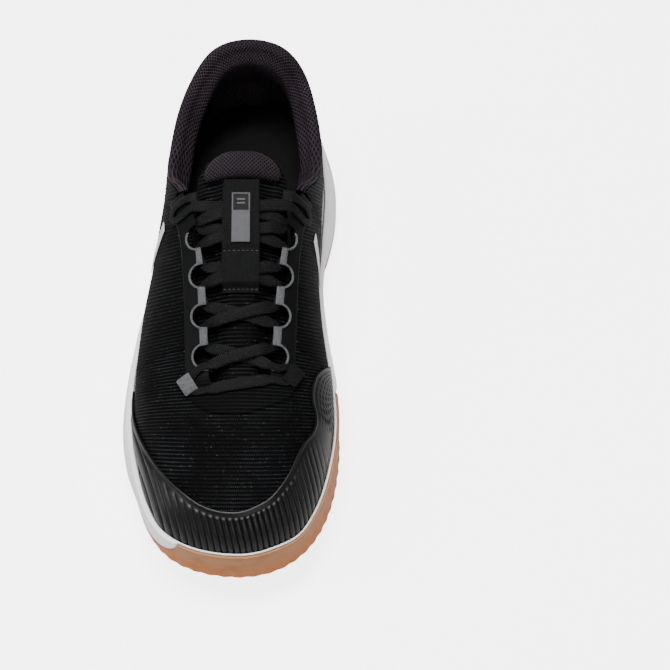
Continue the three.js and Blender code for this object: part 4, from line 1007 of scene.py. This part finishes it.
# %% Toe guard
GUARD_THICK = 1.4
guard_top = spline([
    (0.305, 33), (0.32, 36), (0.347, 42), (0.382, 48.3), (0.414, 51), (0.45, 51.3), (0.476, 51.3),
    (0.519, 51.8), (0.547, 52.3), (0.575, 52.8), (0.613, 53.1), (0.63, 53.3), (0.641, 52.6),
    (0.65, 51.1), (0.657, 51.1), (0.663, 52.6), (0.67, 55.6), (0.676, 57.4), (0.682, 58.2),
    (0.69, 57.6), (0.698, 52), (0.706, 42), (0.712, 34),
])
GUARD_START, GUARD_END = 0.305, 0.712
GUARD_RIB = 3.1
DOT_WIDE, DOT_HIGH = 3.1, 2.7
loops = steps(GUARD_START, GUARD_END, 620)
loops, rises = columns_between(loops, 0.03, rise_at_z(loops, guard_top(loops)), steps(0, 1, 70))
skin = last(loops, rises)
from_top = run_of(skin[:, ::-1], 1)[:, ::-1]
along = run_of(skin, 0)
across = (skin[..., 0] + 0.33 * skin[..., 1]) / GUARD_RIB
rib = 1 - np.abs(2 * np.mod(across, 1) - 1) ** 3
ribbed = smooth(from_top, 2.4, 4.6) * (1 - smooth(loops, 0.6, 0.655))
rim = 0.4 * np.exp(-((from_top - 0.8) / 0.5) ** 2)
row = np.floor(from_top / DOT_HIGH)
dot_u = np.mod(along / DOT_WIDE + 0.5 * np.mod(row, 2), 1) - 0.5
dot_v = np.mod(from_top / DOT_HIGH, 1) - 0.5
dots = np.exp(-((dot_u * DOT_WIDE) ** 2 + (dot_v * DOT_HIGH) ** 2) / 0.5)
dotted = smooth(loops, 0.657, 0.664) * smooth(from_top, 2, 4) * (1 - smooth(loops, 0.702, 0.708))
raise_by = 0.8 * rib * ribbed + rim + 0.5 * dots * dotted
points = last(loops, rises, GAP + GUARD_THICK - 0.35 + raise_by)
guard = shell(lay("guard", points, together(across, ribbed)), GUARD_THICK - 0.4, 0)
finished(guard, rubber, "shoe", ["toe_guard"])

# %% [markdown]
# ## The sole
# A gum rubber cup holds a white foam midsole. Both are rings stacked round the shoe: from the middle line
# underneath, out to the edge, up the wall and back in to the middle line, where the two sides are welded.

# %% Cup and midsole
RUBBER_WALL, RUBBER_FLOOR, RIM_WALL = 1.6, 4.2, 3
RIM_SHOWS = 0.5
wrap_lateral = spline([(-152, 38), (-146, 36), (-141, 24), (-134, 15.5), (-126, 11.5), (-110, 8),
                       (-60, 6.6), (60, 7.5), (130, 9), (152, 12)])
wrap_medial = spline([(-152, 38), (-130, 36), (-100, 34), (-62, 32), (-50, 28), (-40, 18), (-31, 10.5),
                      (-20, 8), (60, 8.5), (130, 9.5), (152, 12)])


class Wall:
    """The sole's side wall at many places round the shoe: level 0 is its lower edge, 1 its rim."""

    def __init__(self, loops):
        self.loops = loops
        self.x, self.y = edge_of(loops, sole_lateral, sole_medial)
        before = edge_of(loops - 0.004, sole_lateral, sole_medial)
        after = edge_of(loops + 0.004, sole_lateral, sole_medial)
        along = unit(together(after[0] - before[0], after[1] - before[1]))
        self.out = together(-along[:, 1], along[:, 0])
        inside = self.out[:, 0] * (self.x - spine_x(self.y)) + self.out[:, 1] * self.y * 0.6 < 0
        self.out[inside] *= -1
        self.foot_y = foot(loops)[1]
        self.rim = last_at_z(loops, feather_z(self.foot_y) + RIM_HEIGHT, GAP + GUARD_THICK + GAP + RIM_WALL)
        self.ground = np.maximum(0, spring(self.y))
        lateral, _ = half_turn(loops)
        wrap = np.where(lateral, wrap_lateral(self.y), wrap_medial(self.y))
        self.wrap_z = np.minimum(wrap, feather_z(self.foot_y) + RIM_HEIGHT - RIM_SHOWS)
        self.wrap = self.level_at(self.wrap_z)

    def level_at(self, z):
        return (z - self.ground) / (self.rim[:, 2] - self.ground)

    def dish(self, extra):
        """The dish inside the rubber: its floor's edge, and a ring halfway up to the wrap's top."""
        floor = self.ring(0.2, RUBBER_WALL + 0.6 + extra)
        floor[:, 2] = self.ground + RUBBER_FLOOR + extra
        return floor, self.ring(self.level_at((floor[:, 2] + self.wrap_z) / 2), RUBBER_WALL + extra)

    def ring(self, level, inset=0.0):
        level = level + 0 * self.x
        inwards = np.clip((level - 0.35) / 0.65, 0, 1) ** 1.6
        tuck = 2.2 * (1 - np.clip(level / 0.18, 0, 1)) ** 2
        x = mix(self.x - self.out[:, 0] * tuck, self.rim[:, 0], inwards) - self.out[:, 0] * inset
        y = mix(self.y - self.out[:, 1] * tuck, self.rim[:, 1], inwards) - self.out[:, 1] * inset
        return together(x, y, mix(self.ground, self.rim[:, 2], level))

    def lip(self, share, inset):
        """A ring inside the rim: share 1 is the rim's top, 0 the footbed's edge."""
        return last_at_z(self.loops, feather_z(self.foot_y) + share * RIM_HEIGHT, inset)


def inward(ring, count):
    """Rings from an edge to the middle line, at the edge's own height."""
    rings = []
    for share in np.linspace(0, 1, count + 1)[1:]:
        x = mix(ring[:, 0], spine_x(ring[:, 1]), share)
        rings.append(together(x, ring[:, 1], ring[:, 2]))
    return rings


wall = Wall(np.linspace(0, 1, 681))
bottom = wall.ring(0, 1.2)
floor_ring, dish_ring = wall.dish(0)
levels = np.concatenate([np.linspace(0.0, 0.2, 7), np.linspace(0.24, 0.98, 22)])
sides = [wall.ring(wall.wrap * level) for level in levels]
scallop = 0.45 * (0.5 + 0.5 * np.sin(run_of(bottom, 0) * TURN / 7.5))
toe_side = 1 - smooth(wall.y, -60, -30)
for level, ring in zip(levels, sides):
    ring[:, :2] += wall.out * ((scallop + 0.25) * toe_side * (1 - smooth(level, 0.1, 0.55)))[:, None]
rings = [
    *inward(bottom, 34)[::-1], bottom, *sides,
    wall.ring(wall.wrap, 0.3), wall.ring(wall.wrap, RUBBER_WALL - 0.25),
    wall.ring(wall.wrap * 0.985, RUBBER_WALL), dish_ring, floor_ring, *inward(floor_ring, 4),
]
rings = np.stack(rings, axis=1)

TREAD_DEPTH = 1.4
tread_rows = [(y, 44) for y in np.linspace(-112, -22, 7)] + [(y, 34) for y in np.linspace(72, 126, 5)]
under = rings[:, :35]
for row_y, half in tread_rows:
    zigzag = 2.5 * (2 * np.abs(2 * np.mod((under[..., 0] - 2) / half * 2, 1) - 1) - 1)
    off = np.abs(under[..., 1] - row_y - zigzag)
    cut = (1 - smooth(off, 0.7, 1.5)) * (1 - smooth(np.abs(under[..., 0] - 2), half - 1, half))
    under[..., 2] += TREAD_DEPTH * cut
cup = closed_form(lay("gum_cup", rings), 40)
finished(cup, gum, "shoe", ["outsole"])

wall = Wall(np.linspace(0, 1, 481))
inner = GAP + GUARD_THICK + 0.5
seat, dish_ring = wall.dish(GAP)
step_level = wall.level_at(wall.wrap_z + GAP)
tucked = RUBBER_WALL * smooth(step_level, 0.86, 0.96)
bed = last(wall.loops, 0.0, inner - 0.2)
bed[:, 2] = feather_z(wall.foot_y) - GAP
rings = [
    *inward(seat, 6)[::-1], seat, dish_ring,
    wall.ring(step_level, RUBBER_WALL + GAP),
    wall.ring(step_level, mix(0.3, RUBBER_WALL + 0.15, tucked / RUBBER_WALL)),
    *(wall.ring(mix(step_level, 1, share), tucked) for share in np.linspace(0.03, 0.985, 26)),
    wall.ring(1.0, 0.3 + tucked), wall.lip(1.0, inner + 0.3), wall.lip(0.94, inner),
    wall.lip(0.6, inner), wall.lip(0.2, inner), bed, *inward(bed, 6),
]
midsole = closed_form(lay("foam_midsole", np.stack(rings, axis=1)), 40)
finished(midsole, foam, "shoe", ["midsole"])

# %% [markdown]
# ## The footbed
# The insole lies on the lasting board and cups the heel. Only its heel end is seen, through the mouth.

# %% Insole
INSOLE_THICK = 4.5
loops = np.linspace(0, 1, 241)
foot_y = foot(loops)[1]


def bed_ring(inset, z):
    ring = last(loops, 0.0, -5.8 - inset)
    ring[:, 2] = feather_z(foot_y) + BED_GAP + z
    return ring


cupping = 4 * smooth(foot_y, -20, 90)
sections = [
    (1, 0), (0, 0.6), (0.1, INSOLE_THICK - 0.5 + cupping), (0.7, INSOLE_THICK + cupping),
    (2.0, INSOLE_THICK + cupping), (4, INSOLE_THICK + 0.4 * cupping), (6.5, INSOLE_THICK),
]
rings = [bed_ring(inset, z) for inset, z in sections]
rings = [*inward(rings[0], 5)[::-1], *rings, *inward(rings[-1], 8)]
footbed = closed_form(lay("footbed", np.stack(rings, axis=1)))
finished(footbed, insole_cloth, "shoe", ["insole"])

# %% [markdown]
# ## The tongue
# The tongue lies under the lace and is stitched at its front end. Its ribbed face, the padded
# top, the strap and the label all ride with it, and a bound edge hides the layers of foam and lining.

# %% Tongue face and bound edge
TONGUE_HALF, TONGUE_TOP_Y, TONGUE_FRONT_Y = 28, 47, -66


def tongue_drop(half):
    return -0.4 - 5.2 * smooth(np.abs(half), 5, 17)


def tongue_half(y):
    wide = TONGUE_HALF - 9 * (1 - smooth(y, TONGUE_FRONT_Y, -45)) - 1.5 * smooth(y, 5, 40)
    return wide * (1 - 0.22 * smooth(y, TONGUE_TOP_Y - 10, TONGUE_TOP_Y) ** 2)


def on_tongue(half, y, lift):
    return above(spine_x(y) + np.where(np.abs(half) < 1e-4, 1e-4, half), y, tongue_drop(half) + lift)


ys = steps(TONGUE_FRONT_Y, TONGUE_TOP_Y, 300)[None, :]
half = steps(-1, 1, 84)[:, None] * tongue_half(ys)
cloth = together(half, ys)
face = lay("tongue_face", on_tongue(half, ys, 0.22 * rib_wave(cloth[..., 1], TONGUE_RIB) - 0.1), cloth)
shell(face, 1.1, 0)
finished(face, tongue_cloth, "tongue", ["tongue_shell"])

side_ys = steps(TONGUE_FRONT_Y, TONGUE_TOP_Y, 90)
top_half = steps(-1, 1, 40)[1:-1] * tongue_half(TONGUE_TOP_Y)
border_half = np.concatenate([-tongue_half(side_ys), top_half, tongue_half(side_ys)[::-1]])
border_y = np.concatenate([side_ys, TONGUE_TOP_Y + 0 * top_half, side_ys[::-1]])
middle = on_tongue(border_half, border_y, -2.4)
upward = unit(on_tongue(border_half, border_y, 0.0) - middle)
out = unit(np.cross(np.gradient(middle, axis=0), upward))
away = np.sum(out * (middle - np.array([7.3, 0, 90])), axis=-1, keepdims=True)
out = np.where(away < 0, -out, out)
turn = np.linspace(0, TURN, 17)
binding = (middle + 0.5 * out)[:, None] + 1.2 * np.cos(turn)[None, :, None] * out[:, None] \
    + 2.5 * np.sin(turn)[None, :, None] * upward[:, None]
ends = [binding[:1].mean(axis=1, keepdims=True) + 0 * binding[:1],
        binding[-1:].mean(axis=1, keepdims=True) + 0 * binding[-1:]]
edge_tape = closed_form(lay("tongue_binding", np.concatenate([ends[0], binding, ends[1]])))
finished(edge_tape, lining_cloth, "tongue")

# %% [markdown]
# ## The tongue's padded top
# Soft mesh is sewn over a crescent of foam at the tongue's upper edge. A cushion could be sculpted, but a
# swelling written as a formula keeps its flat underside on the tongue and its threads evenly spaced.

# %% Padded top
PAD_Y, PAD_LENGTH, PAD_HEIGHT, PAD_HALF = 37, 13.4, 4.6, 21.5
PAD_MIDDLE_Y, PAD_SWELL = 43.7, 6.9


def pad_half(y):
    arch = 1 - 0.88 * ((y - PAD_Y) / PAD_LENGTH) ** 2.6
    return PAD_HALF * (np.sqrt(arch) - 0.06 * smooth(PAD_Y - y, -3, 0))


ys = PAD_Y + PAD_LENGTH * (0.5 - 0.5 * np.cos(np.linspace(0, math.pi, 61)))[None, :]
t = np.sin(np.linspace(-math.pi / 2, math.pi / 2, 121))[:, None]
swell = np.sqrt(np.maximum(0, 1 - np.abs((ys - PAD_MIDDLE_Y) / PAD_SWELL) ** 2.6))
lift = GAP + 0.7 + PAD_HEIGHT * swell * np.maximum(0, 1 - np.abs(t) ** 3) ** 0.5
half = t * pad_half(ys)
level = 0.45 * (tongue_drop(0) - tongue_drop(half))
over = on_tongue(half, ys, lift + level)
under = on_tongue(half, ys, GAP + 0.1 + 0 * lift)[::-1]
ridge = lift[len(t) // 2]
run = PAD_Y + np.concatenate([[0], np.cumsum(np.hypot(np.diff(ys[0]), np.diff(ridge)))])
cloth = together(half, run)
pad = closed_form(lay("tongue_cushion", np.concatenate([over, under, over[:1]]),
                      np.concatenate([cloth, cloth[::-1], cloth[:1]])), 60)
apply_modifier(pad, "BEVEL", width=0.2 * MM, segments=1, limit_method="ANGLE", angle_limit=math.radians(60))
edit(pad, lambda: bpy.ops.mesh.select_all(action="DESELECT"),
     lambda: bpy.ops.mesh.select_non_manifold(extend=False), lambda: bpy.ops.mesh.fill_holes(sides=0))
soften(pad, 60)
finished(pad, pad_mesh, "tongue", ["tongue_pad"])

# %% [markdown]
# ## The lace strap and its label
# A webbing strap is stitched at its front end, once between two lace rows, and under the padded top. It
# arches over the lace between the stitches.

# %% Strap, stitches and label
ROWS = [*NOTCH_YS, 20]
STRAP_HALF, STRAP_THICK = 9.5, 1.1
STRAP_LIFT = 2 * (LACE_THICK + GAP) + 1.2
SEWN_Y = (ROWS[2] + ROWS[3]) / 2
STRAP_FRONT_Y, STRAP_BACK_Y = ROWS[2] - 10, PAD_Y - 0.6
strap_at = [
    (STRAP_FRONT_Y, GAP + 0.1), (STRAP_FRONT_Y + 2, GAP + 0.1), (STRAP_FRONT_Y + 4.6, STRAP_LIFT),
    (SEWN_Y - 2.6, STRAP_LIFT), (SEWN_Y - 1, STRAP_LIFT - 1.2), (SEWN_Y + 1, STRAP_LIFT - 1.2),
    (SEWN_Y + 2.6, STRAP_LIFT), (STRAP_BACK_Y - 8, STRAP_LIFT), (STRAP_BACK_Y - 2, GAP + 0.1),
    (STRAP_BACK_Y, GAP + 0.1),
]


def strap_lift(y):
    near = [np.interp(y + shift, *zip(*strap_at)) for shift in (-0.8, -0.4, 0, 0.4, 0.8)]
    return np.mean(near, axis=0)


def on_strap(half, y, lift):
    flat = tongue_drop(0) - tongue_drop(half)
    return on_tongue(half, y, strap_lift(y) + STRAP_THICK + lift + flat)


ys = steps(STRAP_FRONT_Y, STRAP_BACK_Y, 190)[None, :]
half = steps(-STRAP_HALF, STRAP_HALF, 44)[:, None] + 0 * ys
selvedge = 0.18 * smooth(np.abs(half), STRAP_HALF - 1.6, STRAP_HALF - 1.1)
strap = lay("strap", on_strap(half, ys, selvedge - 0.1), together(half, ys))
shell(strap, STRAP_THICK - 0.2, 0.3)
finished(strap, strap_webbing, "tongue", ["tongue_strap"])


STITCH_RADIUS = 0.5
STITCH_SHAPE = (1.5, 0.55, 0.4)


def stitch_row(name, y, count, reach):
    """Short capsules in a row: one sphere is stretched and laid for each stitch, then all are joined."""
    made = []
    for middle in np.linspace(-reach, reach, count):
        place = on_strap(np.array(middle), np.array(y), 0.12) * MM
        bpy.ops.object.select_all(action="DESELECT")
        bpy.ops.mesh.primitive_uv_sphere_add(
            segments=10, ring_count=6, radius=STITCH_RADIUS * MM, location=place, scale=STITCH_SHAPE)
        made.append(bpy.context.object)
    for one in made:
        one.select_set(True)
    bpy.context.view_layer.objects.active = made[0]
    bpy.ops.object.join()
    joined = bpy.context.object
    joined.name = joined.data.name = name
    bpy.ops.object.transform_apply(location=True, rotation=True, scale=True)
    soften(joined)
    return joined


for name, y in (("front", STRAP_FRONT_Y + 1.6), ("middle", SEWN_Y)):
    row = stitch_row("strap_stitches_" + name, y, 8, STRAP_HALF - 1.3)
    finished(row, thread, "tongue")

LABEL_FRONT_Y, LABEL_BACK_Y, LABEL_HALF = 1.2, 27.6, 5


def label_piece(name, half_range, y_range, lift, finish, nodes=()):
    half = steps(*half_range, 16)[:, None]
    ys = steps(*y_range, max(6, int(2 * (y_range[1] - y_range[0]))))[None, :]
    made = shell(lay(name, on_strap(half + 0 * ys, ys + 0 * half, lift)), 0.45, 0.12)
    finished(made, finish, "tongue", nodes)


label_piece("label_plate", (-LABEL_HALF, LABEL_HALF), (LABEL_FRONT_Y, LABEL_BACK_Y), GAP + 0.5,
            label_black, ["tongue_label"])
BLOCK_BACK_Y = mix(LABEL_FRONT_Y, LABEL_BACK_Y, 0.64)
label_piece("label_block", (-LABEL_HALF + 0.3, LABEL_HALF - 0.3), (LABEL_FRONT_Y + 0.3, BLOCK_BACK_Y),
            GAP + 0.72, label_grey)
FRAME_LINE = 0.7
for name, half_range, y_range in (
    ("left", (0.3 - LABEL_HALF, 0.3 - LABEL_HALF + FRAME_LINE), (BLOCK_BACK_Y, LABEL_BACK_Y - 0.3)),
    ("right", (LABEL_HALF - 0.3 - FRAME_LINE, LABEL_HALF - 0.3), (BLOCK_BACK_Y, LABEL_BACK_Y - 0.3)),
    ("back", (0.3 - LABEL_HALF, LABEL_HALF - 0.3), (LABEL_BACK_Y - 0.3 - FRAME_LINE, LABEL_BACK_Y - 0.3)),
    ("bar_one", (-2.2, 2.2), (BLOCK_BACK_Y + 3.2, BLOCK_BACK_Y + 4.2)),
    ("bar_two", (-2.2, 2.2), (BLOCK_BACK_Y + 5.2, BLOCK_BACK_Y + 6.2)),
):
    label_piece("label_line_" + name, half_range, y_range, GAP + 0.72, label_grey)

# %% [markdown]
# ## The lace
# One flat woven lace crosses the tongue row by row, dives under each webbing link and comes out at the
# next notch. Its places are the ones that the solid uses; a smooth curve is drawn through them and a
# rounded flat section is carried along it. Because the tongue moves and the eyestays do not, the lace is
# parted at the middle into two halves.

# %% Lace
LACE_UNDER, TOP_DIP = -0.2 - LACE_THICK / 2, 1


def edge_half(y):
    return float(throat_half(y)) + 1.6


def lace_base(half, edge, lifted):
    low = tongue_drop(0) + GAP + 0.1 + LACE_THICK / 2
    base = mix(low, LACE_UNDER, smooth(half, 4, edge - 0.5))
    return base + (LACE_THICK + GAP + 0.15) * (1 - smooth(half, edge - 7.5, edge - 1.5)) * lifted


def crossing(side, row, lifted):
    y, over_film = ROWS[row], row == 4
    edge = edge_half(y)

    def low(half):
        return (side * half, y - 4.4 * min(1, half / (edge - 1.5)), lace_base(half, edge, lifted))

    def high(half):
        return (-side * half, y + 4.4 * min(1, half / (edge - 1.5)), lace_base(half, edge, lifted))

    near = edge - 7
    if row == 0:
        above_film = LACE_OVER + GAP
        start = [(side * (edge + 1.5), y - 5.6, above_film), (side * (edge - 3.6), y - 4.6, above_film)]
    elif over_film:
        start = [(side * (edge - 1), y - 3.9, LACE_UNDER - TOP_DIP), low(near)]
    else:
        start = [(side * (edge + 0.2), y - 6.6, LACE_UNDER), (side * (edge - 1), y - 4.4, LACE_UNDER)]
        start.append(low(near))
    below = LACE_UNDER - TOP_DIP * (row == 3)
    end = [(-side * (edge - 1), y + 4.4, below), (-side * (edge + 0.2), y + 6.6, below)]
    if over_film:
        end = [(-side * (edge - 2), y + 4.2, LACE_OVER)]
    return [*start, low(7), (0, y, lace_base(0, edge, lifted)), high(7), high(near), *end]


def lace_half(side):
    x, y = TABS[side]
    half = abs(x - float(spine_x(y)))
    bar = [(side * 8, mix(-67.5, y - 3.6, 0.45)), (side * 16, y - 3.8), (side * (half - 2.5), y - 3.6),
           (side * half, y - 0.6), (side * (half - 1.6), y + 3.6)]
    places = [(h, y, LACE_OVER) for h, y in bar]
    at = side
    for row in range(5):
        places += crossing(at, row, (row % 2 == 0) == (side < 0))
        at = -at
    out = 36.5 if at < 0 else 34.5
    tail = [(out - 6, 2.4, 0), (out - 1.6, 2, 0), (out, 5.2, 0), (out - 1.8, 8.6, 0), (out - 8.5, 9.6, 0),
            (out - 12.5, 9.2, 1.9)]
    return places + [(at * h, ROWS[4] + y, LACE_OVER - drop) for h, y, drop in tail]


def catmull(points, shares):
    """A centripetal curve through points, at places counted in points."""
    ends = np.array([2 * points[0] - points[1], *points, 2 * points[-1] - points[-2]])
    i = np.minimum(shares.astype(int), len(points) - 2)
    t = (shares - i)[:, None]
    p = [ends[i + k] for k in range(4)]
    gap = [np.linalg.norm(p[k + 1] - p[k], axis=1, keepdims=True) ** 0.5 for k in range(3)]
    gap = [np.maximum(size, 1e-4) for size in gap]
    gap[0] = np.where(gap[0] < 1e-3, gap[1], gap[0])
    gap[2] = np.where(gap[2] < 1e-3, gap[1], gap[2])
    one = (p[1] - p[0]) / gap[0] - (p[2] - p[0]) / (gap[0] + gap[1]) + (p[2] - p[1]) / gap[1]
    two = (p[2] - p[1]) / gap[1] - (p[3] - p[1]) / (gap[1] + gap[2]) + (p[3] - p[2]) / gap[2]
    one, two = one * gap[1], two * gap[1]
    return (p[1] + one * t + (-3 * p[1] + 3 * p[2] - 2 * one - two) * t ** 2
            + (2 * p[1] - 2 * p[2] + one + two) * t ** 3)


route = np.array([*lace_half(-1)[::-1], (0, -67.5, LACE_OVER), *lace_half(1)])
route_x = spine_x(route[:, 1]) + np.where(np.abs(route[:, 0]) < 1e-4, 1e-4, route[:, 0])
centre = above(route_x, route[:, 1], route[:, 2])
upward = above(route_x, route[:, 1], route[:, 2] + 1) - centre
length = np.linalg.norm(np.diff(centre, axis=0), axis=1)
counts = np.maximum(1, np.rint(length / 0.9)).astype(int)
shares = np.concatenate([*(i + np.arange(n) / n for i, n in enumerate(counts)), [len(route) - 1.0]])
path = catmull(centre, shares)
along = unit(np.gradient(path, axis=0))
across = unit(np.cross(along, catmull(upward, shares)))
thick = np.cross(across, along)
inset = np.array([edge_half(max(y, -60)) - abs(half) for half, y, _ in route])
narrow = 0.64 + 0.36 * smooth(np.interp(shares, np.arange(len(route)), inset), 1, 6)
turn = np.linspace(0, TURN, 21)
flat_w = np.sign(np.cos(turn)) * np.abs(np.cos(turn)) ** 0.62 * LACE_WIDTH / 2
flat_h = np.sign(np.sin(turn)) * np.abs(np.sin(turn)) ** 0.75 * LACE_THICK / 2
groove = 1 - 0.22 * np.exp(-(flat_w / 0.8) ** 2)
section = path[:, None] + (narrow[:, None] * flat_w)[..., None] * across[:, None] \
    + (flat_h * groove)[None, :, None] * thick[:, None]
run = run_of(path, 0)
LACE_LENGTH = run[-1]
cloth = together(run[:, None], flat_w[None, :])
cap = [path[:1, None] + 0 * section[:1], path[-1:, None] + 0 * section[-1:]]
lace = lay("lace_whole", np.concatenate([cap[0], section, cap[1]]),
           np.concatenate([cloth[:1], cloth, cloth[-1:]]))
closed_form(lace, 60)
print("lace", round(LACE_LENGTH), "mm")

PARTED_X = 7.3
for side, name in ((-1, "lateral"), (1, "medial")):
    alone(lace)
    bpy.ops.object.duplicate()
    half_lace = bpy.context.object
    half_lace.name = half_lace.data.name = "lace_" + name
    edit(half_lace, lambda: bpy.ops.mesh.bisect(
        plane_co=(PARTED_X * MM, 0, 0), plane_no=(1, 0, 0), use_fill=True, clear_outer=side < 0,
        clear_inner=side > 0))
    soften(half_lace, 60)
    half_lace.data.materials.clear()
    half_lace.data.materials.append(lace_weave.material)
    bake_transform(half_lace)
    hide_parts("lace")
    print(half_lace.name, len(half_lace.data.polygons), "faces")
alone(lace)
bpy.ops.object.delete()

# %% [markdown]
# ## The hidden layers
# Linings, stiffeners and foam keep the solids' own shape, because the right shape is already there. Each
# gets its cloth, board or foam.

# %% Finishes for the solids that stay
kept = {
    "lasting_board": board, "vamp_lining": lining_cloth, "quarter_lining_lateral": lining_cloth,
    "quarter_lining_medial": lining_cloth, "toe_puff": board, "heel_counter": board,
    "collar_foam": open_foam, "tongue_foam": open_foam, "tongue_lining": lining_cloth,
}
for node, finish in kept.items():
    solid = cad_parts[node]
    solid.data.materials.clear()
    solid.data.materials.append(finish.material)

# %% [markdown]
# A wide pale plane stands for studio paper. It glows only where the camera looks straight at it, so it
# shows bright and doesn't light the shoe from below.

# %% Floor
bpy.ops.object.select_all(action="DESELECT")
bpy.ops.mesh.primitive_plane_add(size=6, location=(0, 0, -0.0004))
ground = bpy.context.object
ground.name = "studio_floor"
paper = Finish("studio_paper", roughness=0.8, Specular_IOR_Level=0.1, Emission_Strength=4)
paper.shader.inputs["Base Color"].default_value = (0.85, 0.85, 0.85, 1)
paper.paint("Emission Color", paper.node("ShaderNodeLightPath", {}, [], "Is Camera Ray"))
ground.data.materials.append(paper.material)
